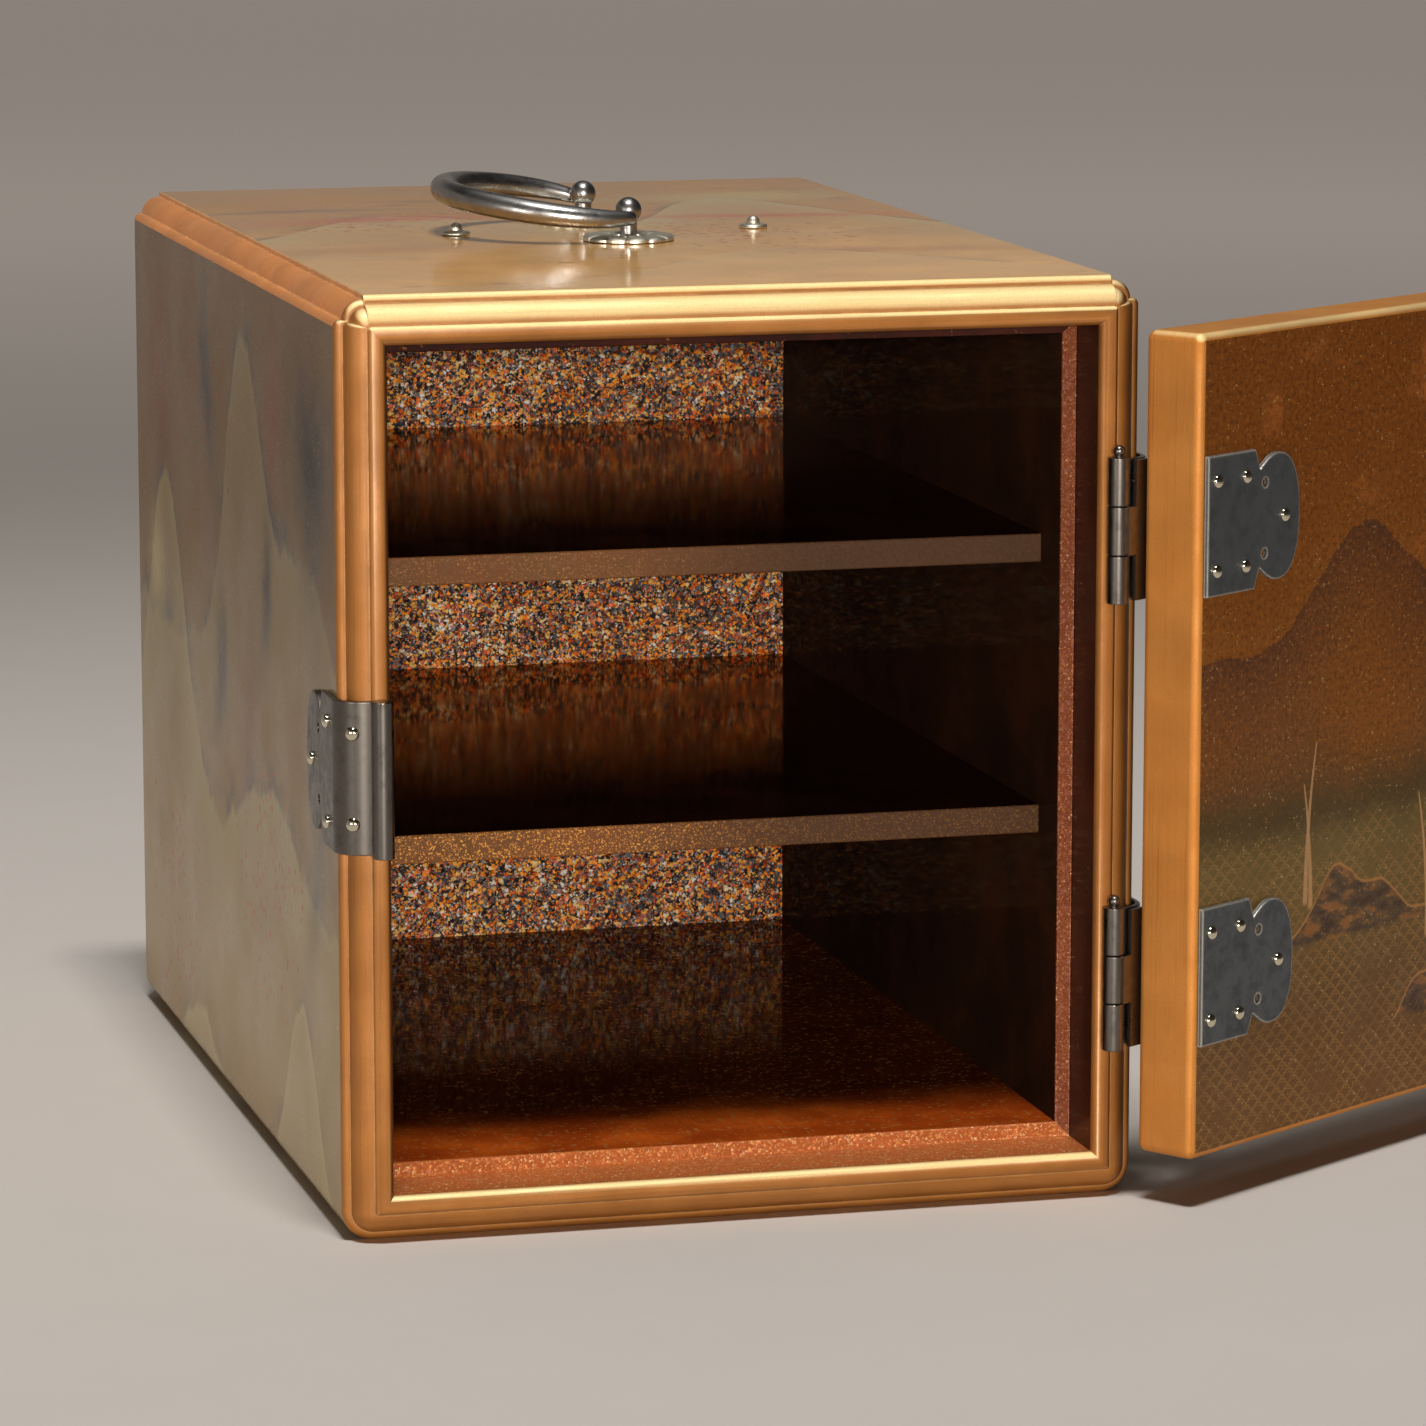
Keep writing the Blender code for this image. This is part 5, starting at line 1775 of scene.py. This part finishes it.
@dataclass(frozen=True)
class Hinges:
    """Two hinges: a leaf around the rim, a leaf outside the door, a pin and an inner plate."""

    door: Door
    sheet: SilverSheet
    nails: Nails
    barrel: Barrel
    silver: Finish
    slate: Finish
    leaf_length: float = 0.0157
    plate_inset: float = 0.0003
    plate_rise: float = 0.0008
    nail_aside: float = 0.0044
    lobe_nail: float = 0.0026
    plate_nails: tuple[float, ...] = (0.002, 0.0067)
    leaf_nails: tuple[float, ...] = (0.0067,)
    strap_nails: tuple[float, ...] = (0.0032, 0.0062)

    def case_leaf(self, name: str, height: float) -> None:
        """Model the leaf that wraps the right front moulding."""
        hang, sheet = self.door.hang, self.sheet
        strap = Strap(hang.case, sheet, 1, hang.x)
        matrix = hang.standing(height)
        maker = sheet.plate(strap.distances(), strap.length, strap.bend)
        leaf = maker.piece("silver_case_leaf_" + name, matrix)
        tools = self.barrel.rooms(sheet.half_height, (1,), hang.forward + sheet.thickness, matrix)
        tools += sheet.punches(matrix, (strap.side_face, strap.end - sheet.pierce_at), (1, 0))
        cut_away(leaf, tools)
        self.add_knuckles(leaf, (0, 2))
        dress(leaf, Body.CASE, ["hinge_case_leaf_" + name], [self.silver])
        points = [(strap.side_face, strap.forward + y) for y in self.strap_nails]
        places = nail_places(points, (1, 0), (strap.side_face, strap.end - self.lobe_nail), self.nail_aside)
        self.nails.row("case_leaf_" + name, places, matrix, Body.CASE)

    def add_knuckles(self, leaf: Item, levels: Sequence[int]) -> None:
        """Join the rolled knuckles to a leaf's mesh."""
        maker = Maker()
        for level in levels:
            self.barrel.knuckle(maker, *self.barrel.span(self.sheet.half_height, level))
        join_on(leaf, maker)

    def door_leaf(self, name: str, height: float) -> None:
        """Model the leaf on the door's outer face."""
        hang, sheet = self.door.hang, self.sheet
        matrix = hang.swung(height)
        leaf = self.door_sheet("silver_", "door_leaf_" + name, matrix, -1, 0.0, self.leaf_nails)
        cut_away(leaf, self.barrel.rooms(sheet.half_height, (0, 2), hang.forward + sheet.thickness, matrix))
        self.add_knuckles(leaf, (1,))
        dress(leaf, Body.DOOR, ["hinge_door_leaf_" + name], [self.silver])

    def door_plate(self, name: str, height: float) -> None:
        """Model the plate on the door's inner face."""
        matrix = self.door.hang.swung(height + self.plate_rise)
        start = self.door.edge - self.door.radius + self.plate_inset
        plate = self.door_sheet("slate_", "door_plate_" + name, matrix, 1, start, self.plate_nails)
        dress(plate, Body.DOOR, ["door_plate_" + name], [self.slate])

    def door_sheet(
        self, metal: str, name: str, matrix: Matrix, side: int, start: float, distances: Point
    ) -> Item:
        """Model a pierced sheet on one face of the door, and its nails.

        Args:
            metal: What the sheet's name starts with.
            name: The rest of its name, which its nails share.
            matrix: Where the sheet stands.
            side: 1 for the door's inner face and -1 for the outer.
            start: Where the sheet starts, counted from the axis.
            distances: Where its pairs of nails are, counted from the door's edge.

        Returns:
            The sheet.
        """
        door, sheet = self.door, self.sheet
        forward, end = door.hang.forward, door.edge - self.leaf_length
        back = forward + door.thickness + sheet.gap if side > 0 else forward - sheet.gap
        stops = [0.0] + sheet.stops(start - end)
        maker = sheet.plate(stops, start - end, lambda along, lift: (start - along, back + side * lift))
        piece = maker.piece(metal + name, matrix)
        front = back + side * sheet.thickness
        cut_away(piece, sheet.punches(matrix, (end + sheet.pierce_at, front), (0, side)))
        points = [(door.edge - x, front) for x in distances]
        places = nail_places(points, (0, side), (end + self.lobe_nail, front), self.nail_aside)
        self.nails.row(name, places, matrix, Body.DOOR)
        return piece

    def build(self) -> None:
        """Model and dress both hinges."""
        maker = self.barrel.pin(self.sheet.half_height)
        for name, height in self.door.hang.heights.items():
            self.case_leaf(name, height)
            self.door_leaf(name, height)
            self.door_plate(name, height)
            pin = maker.piece("silver_pin_" + name, self.door.hang.standing(height))
            dress(pin, Body.CASE, ["hinge_pin_" + name], [self.silver])


@dataclass(frozen=True)
class Catch:
    """The catch on the left front upright: a wrapped strap with a rolled front edge."""

    case: CaseShell
    sheet: SilverSheet
    nails: Nails
    barrel: Barrel
    silver: Finish
    growth: float = 1.08
    beside: float = 0.0011
    forward: float = 0.0014
    roll_rise: float = 0.00015
    column: float = 0.0047
    column_aside: float = 0.0049
    bend_aside: float = 0.0044
    bend_angle: float = radians(30)
    lobe_nail: float = 0.0026

    def build(self) -> None:
        """Model and dress the catch."""
        case, sheet = self.case, self.sheet
        axis_x = case.opening_half + self.beside
        strap = Strap(case, sheet, -1, axis_x)
        matrix = Matrix.Translation((-axis_x, case.front - self.forward, case.height / 2))
        maker = sheet.plate(strap.distances(), strap.length, strap.bend, self.growth)
        catch = maker.piece("silver_catch", matrix)
        cut_away(catch, sheet.punches(matrix, (strap.side_face, strap.end - sheet.pierce_at), (-1, 0)))
        half = sheet.half_height * self.growth + self.roll_rise
        roll = Maker()
        self.barrel.knuckle(roll, -half, half)
        join_on(catch, roll)
        dress(catch, Body.CASE, ["catch_plate"], [self.silver])
        places = nail_places(
            [(strap.side_face, strap.forward + self.column)], (-1, 0),
            (strap.side_face, strap.end - self.lobe_nail), self.column_aside,
        )
        slant = (-sin(self.bend_angle), -cos(self.bend_angle))
        bend_x, bend_y = strap.middle
        radius = strap.corner + sheet.gap + sheet.thickness
        seat = (-bend_x + radius * slant[0], bend_y + radius * slant[1])
        places += nail_places([seat], slant, None, self.bend_aside)
        self.nails.row("catch", places, matrix, Body.CASE)


@dataclass(frozen=True)
class Handle:
    """The open ring on its two posts, with petal plates and two stop studs."""

    case: CaseShell
    polished: Finish
    pale: Finish
    spacing: float = 0.02
    post_radius: float = 0.0009
    foot_radius: float = 0.00115
    foot_height: float = 0.0003
    ball_radius: float = 0.00135
    ball_height: float = 0.0031
    pivot_height: float = 0.0025
    centre: float = 0.0042
    tube_radius: float = 0.0013
    end_radius: float = 0.0007
    pin_radius: float = 0.00045
    end_gap: float = 0.0002
    turn_inset: float = 0.00063
    turn_radius: float = 0.00052
    rest_tilt: float = radians(6.97)
    twist: float = radians(2.5)
    swell_power: int = 4
    twist_power: int = 8
    petal_radius: float = 0.0048
    petal_height: float = 0.0007
    petal_edge: float = 0.00025
    petals: int = 12
    scallop: float = 0.07
    gap: float = 0.0001
    stud_height: float = 0.0013
    stud_collar: float = 0.0015
    stud_dome: float = 0.0007
    stud_inset: float = 0.0012
    ring_steps: int = 120
    ring_sides: int = 32

    @property
    def end_half(self) -> float:
        """How far from the middle the ring's ends turn in."""
        return self.spacing / 2 + self.ball_radius + self.end_gap + self.end_radius

    @property
    def ring_radius(self) -> float:
        """The radius of the ring's centre line."""
        return hypot(self.end_half, self.centre)

    def path(self) -> list[tuple[float, float, float, float]]:
        """Give the ring's centre line as (reach, across, lift, radius) from end to end."""
        first = pi - atan2(self.end_half, self.centre)
        arc = []
        for i in range(1, self.ring_steps):
            share = i / self.ring_steps
            angle = first * (2 * share - 1)
            across = self.ring_radius * sin(angle)
            swell = 1 - abs(2 * share - 1) ** self.swell_power
            radius = self.end_radius + (self.tube_radius - self.end_radius) * swell
            bend = 1 - abs(2 * share - 1) ** self.twist_power
            reach = self.centre + self.ring_radius * cos(angle)
            arc.append((reach, across, across * tan(self.twist) * bend, radius))
        inner, outer = self.spacing / 2 - self.post_radius, self.spacing / 2 + self.post_radius
        pin = [(inner, self.pin_radius), (outer, self.pin_radius)]
        pin.append((self.end_half - self.turn_inset, self.turn_radius))
        start = [(0.0, -across, 0.0, radius) for across, radius in pin]
        end = [(0.0, across, 0.0, radius) for across, radius in reversed(pin)]
        return start + arc + end

    def ring(self) -> None:
        """Model the ring."""
        path = self.path()
        rings = []
        for i, (reach, across, lift, radius) in enumerate(path):
            before, after = path[max(i - 1, 0)], path[min(i + 1, len(path) - 1)]
            along = Vector((after[0] - before[0], after[1] - before[1])).normalized()
            section = []
            for k in range(self.ring_sides):
                angle = 2 * pi * k / self.ring_sides
                spread = radius * cos(angle)
                x = -(reach - along.y * spread)
                section.append((x, across + along.x * spread, lift + radius * sin(angle)))
            rings.append(section)
        maker = Maker()
        maker.loft(rings)
        pivot = Matrix.Translation((0, 0, self.case.height + self.pivot_height))
        ring = maker.piece("silver_ring", pivot @ Matrix.Rotation(self.rest_tilt, 4, "Y"))
        dress(ring, Body.HANDLE, ["handle_ring"], [self.polished])

    def post(self, name: str, side: int) -> None:
        """Model a turned post with a ball finial."""
        neck = sqrt(self.ball_radius**2 - self.post_radius**2)
        soft = self.gap
        profile = [
            (self.foot_radius, self.gap), (self.foot_radius, self.foot_height - soft * 0.5),
            (self.foot_radius - soft * 0.5, self.foot_height), (self.post_radius, self.foot_height + soft),
            (self.post_radius, self.ball_height - neck),
        ]
        start = -asin(neck / self.ball_radius)
        for i in range(1, 21):
            angle = start + (pi / 2 - start) * i / 20
            radius = max(self.ball_radius * cos(angle), self.ball_radius * 0.015)
            profile.append((radius, self.ball_height + self.ball_radius * sin(angle)))
        maker = Maker()
        maker.turn(profile, 48)
        place = Matrix.Translation((0, side * self.spacing / 2, self.case.height))
        post = maker.piece("silver_post_" + name, place)
        dress(post, Body.CASE, ["handle_post_" + name], [self.polished])

    def petal_plate(self, name: str, side: int) -> None:
        """Model a petal plate: domed petals with a groove between them and a beaded middle."""
        hole = self.foot_radius + self.gap
        width = self.petal_radius - hole
        rows, around = 18, self.petals * 14
        maker = Maker()
        rings = []
        for row in range(rows + 1):
            share = row / rows
            ring = []
            for i in range(around):
                angle = 2 * pi * i / around
                crest = abs(cos(self.petals * angle / 2))
                dome = sqrt(crest) if crest > 0 else 0.0
                edge = self.petal_radius * (1 - self.scallop * (1 - dome))
                radius = hole + (edge - hole) * share
                if share < 0.22:
                    lift = self.petal_height * (0.72 + 0.28 * sin(pi * share / 0.22))
                else:
                    run = (share - 0.22) / 0.78
                    swell = sin(pi * min(1.0, 0.08 + run * 0.92)) ** 0.6
                    rise = self.petal_height * 0.95 - self.petal_edge
                    lift = self.petal_edge + rise * swell * (0.35 + 0.65 * dome)
                ring.append((radius * cos(angle), radius * sin(angle), lift))
            rings.append(maker.ring(ring))
        foot = [(maker.points[n].x, maker.points[n].y, 0.0) for n in rings[-1]]
        core = [(maker.points[n].x, maker.points[n].y, 0.0) for n in rings[0]]
        rings += [maker.ring(foot), maker.ring(core)]
        for low, high in zip(rings, rings[1:] + rings[:1]):
            maker.bridge(low, high)
        place = Matrix.Translation((0, side * self.spacing / 2, self.case.height + self.gap))
        plate = maker.piece("petal_plate_" + name, place)
        dress(plate, Body.CASE, ["handle_rosette_" + name], [self.pale])

    def stud(self, name: str, side: int) -> None:
        """Model a domed stud with a round collar."""
        base = self.stud_height - self.stud_dome
        collar, dome = self.stud_collar, self.stud_dome
        profile = [
            (collar - self.gap * 0.3, self.gap * 0.5), (collar, self.gap), (collar, 0.00022),
            (collar * 0.97, 0.00032), (collar * 0.86, 0.00042), (dome * 1.25, 0.00045),
            (dome * 1.02, 0.00052), (dome, base),
        ]
        for sine, cosine in quarter(12, 1):
            profile.append((max(self.stud_dome * cosine, 0.00001), base + self.stud_dome * sine))
        maker = Maker()
        maker.turn(profile, 40)
        reach = self.centre + self.ring_radius - self.stud_inset
        stud = maker.piece("silver_stud_" + name, Matrix.Translation((side * reach, 0, self.case.height)))
        dress(stud, Body.CASE, ["stop_stud_" + name], [self.pale])

    def build(self) -> None:
        """Model and dress the handle."""
        self.ring()
        for name, side in (("front", -1), ("back", 1)):
            self.post(name, side)
            self.petal_plate(name, side)
        for name, side in (("left", -1), ("right", 1)):
            self.stud(name, side)


@dataclass(frozen=True)
class Studio:
    """The pale sweep that the cabinet stands on, the soft lights and the camera."""

    floor_radius: float = 1.6
    wall_radius: float = 2.4
    wall_height: float = 1.4
    floor_colour: str = "d0c9c2"
    wall_colour: str = "9c958f"
    # Painted shade over the right of the sweep, and a glow on its far part that stands in for light.
    painted_shade_colour: str = "5a5550"
    far_glow: str = "6e6761"
    camera_place: Triple = (-0.15429, -0.63323, 0.1536)
    camera_dip: float = radians(9.82)
    camera_turn: float = radians(14.68)
    lens: float = 157.98
    sensor: float = 36.0

    def sweep(self) -> Item:
        """Model the round sweep, a floor that curves up into a wall, and give it."""
        maker = Maker()
        curve = self.wall_radius - self.floor_radius
        profile = [(0.02, 0.0), (0.3, 0.0), (self.floor_radius, 0.0)]
        for sine, cosine in quarter(24, 1):
            profile.append((self.floor_radius + curve * sine, self.wall_height * (1 - cosine)))
        rows = [maker.ring(circle(radius, height, 96)) for radius, height in profile]
        for low, high in zip(rows, rows[1:]):
            maker.bridge(low, high)
        maker.face(rows[0])
        floor = maker.piece("studio_sweep")
        floor.data.flip_normals()
        floor.data.shade_smooth()
        material = bpy.data.materials.new("studio_paper")
        material.use_nodes = True
        g = Graph(material.node_tree)
        place = g.place()
        x, y, z = g.split(place)
        away = g.math("SQRT", x * x + y * y + z * z)
        # The paper is darker away from the middle: a painted fall-off of the light.
        colour = g.mix(g.spread(away, 0.1, 0.55), self.floor_colour, self.wall_colour)
        # Painted shade over the right of the sweep, so the door and the inside reflect it dark.
        shaded = (x - g.most(y, 0.0) * 0.6).rise(0.2, 0.45)
        colour = g.mix(shaded * 0.85, colour, self.painted_shade_colour)
        mottle = g.noise(place, 0.012, 4.0, 0.6)
        colour = g.mix(mottle * 0.06, colour, "7a7068")
        g.put("Base Color", colour)
        # Painted light: the far sweep glows, standing in for lit paper.
        glow = g.spread(away, 0.4, 1.1) * (1.0 - shaded)
        g.put("Emission Color", g.mix(glow, "000000", self.far_glow))
        g.put("Emission Strength", 1.0)
        g.put("Roughness", 0.9)
        floor.data.materials.append(material)
        return floor

    def lamp(
        self, name: str, place: Point, target: Point, size: Pair, power: float,
        colour: str = "ffffff", flagged_off: "Item | None" = None
    ) -> None:
        """Hang a soft light.

        Args:
            name: The light's name.
            place: Where it hangs.
            target: What it shines at.
            size: Its width and height.
            power: Its power in watts.
            colour: Its colour.
            flagged_off: What its light is kept off, as a black flag does in a studio.
        """
        light = bpy.data.lights.new(name, "AREA")
        light.shape = "RECTANGLE"
        light.size, light.size_y = size
        light.energy = power
        light.color = tint(colour)[:3]
        item = bpy.data.objects.new(name, light)
        bpy.context.scene.collection.objects.link(item)
        item.location = place
        item.rotation_euler = (Vector(target) - Vector(place)).to_track_quat("-Z", "Y").to_euler()
        item.visible_camera = False
        if flagged_off is not None:
            flag = bpy.data.collections.new(name + "_flag")
            flag.objects.link(flagged_off)
            flag.collection_objects[0].light_linking.link_state = "EXCLUDE"
            item.light_linking.receiver_collection = flag

    def build(self) -> None:
        """Set up the sweep, the lights, the air and the camera."""
        scene = bpy.context.scene
        sweep = self.sweep()
        self.lamp("overhead", (-0.08, -0.38, 1.6), (0.0, -0.02, 0.0), (0.36, 0.16), 20.0, "fffdfa")
        self.lamp("canopy", (0.0, 0.34, 1.25), (0.0, 0.0, 0.0), (1.0, 0.6), 0.9, "fffdfa")
        self.lamp("front", (-0.22, -1.3, 0.225), (0.0, 0.0, 0.05), (0.25, 0.08), 12.8, "fff8f0", sweep)
        self.lamp("left", (-1.2, -0.95, 0.22), (0.0, 0.0, 0.05), (0.4, 0.2), 4.4, "fff8f0", sweep)
        world = bpy.data.worlds.new("studio_air")
        world.use_nodes = True
        world.node_tree.nodes["Background"].inputs["Color"].default_value = tint("d8d4ce")
        world.node_tree.nodes["Background"].inputs["Strength"].default_value = 0.03
        scene.world = world
        scene.view_settings.view_transform = "Standard"
        camera = bpy.data.cameras.new("camera")
        camera.lens = self.lens
        camera.sensor_width = self.sensor
        camera.clip_start = 0.01
        item = bpy.data.objects.new("camera", camera)
        bpy.context.scene.collection.objects.link(item)
        item.location = self.camera_place
        item.rotation_euler = (pi / 2 - self.camera_dip, 0, -self.camera_turn)
        scene.camera = item


def main() -> None:
    """Dress the cabinet piece by piece."""
    logging.basicConfig(level=logging.INFO, format="%(name)s: %(message)s")
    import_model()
    case = CaseShell()
    silver = AgedSilver("grey_silver", colour="726c66", tarnish="3a3632", rough=0.26)
    slate = AgedSilver(
        "slate_silver", colour="5b5e60", tarnish="3c3f42", tarnished=0.6, rough=0.42, metal=0.7,
        edge_wear_and_highlight=0.85,
    )
    # Pale, half-matt silver for the nail heads: partly their own colour, partly a painted highlight.
    pale = AgedSilver("pale_silver", colour="e8dcb8", tarnish="a8925e", tarnished=0.3, rough=0.42, metal=0.4)
    # Pale silver for the petal plates and the studs: partly their own colour, partly lightened to stand in
    # for their highlights.
    petal = AgedSilver("petal_silver", colour="e2dccb", tarnish="7c705c", tarnished=0.4, rough=0.34)
    polished = AgedSilver("dark_polished_silver", colour="a8a6a4", tarnish="3c3937", rough=0.24)
    case.build()
    Shelves(case).build()
    hang = DoorHang(case)
    door = Door(hang)
    door.build()
    sheet, barrel = SilverSheet(), Barrel()
    nails = Nails(pale, sheet.gap)
    Hinges(door, sheet, nails, barrel, silver, slate).build()
    Catch(case, sheet, nails, barrel, silver).build()
    Handle(case, polished, petal).build()
    Studio().build()


if __name__ == "__main__":
    main()
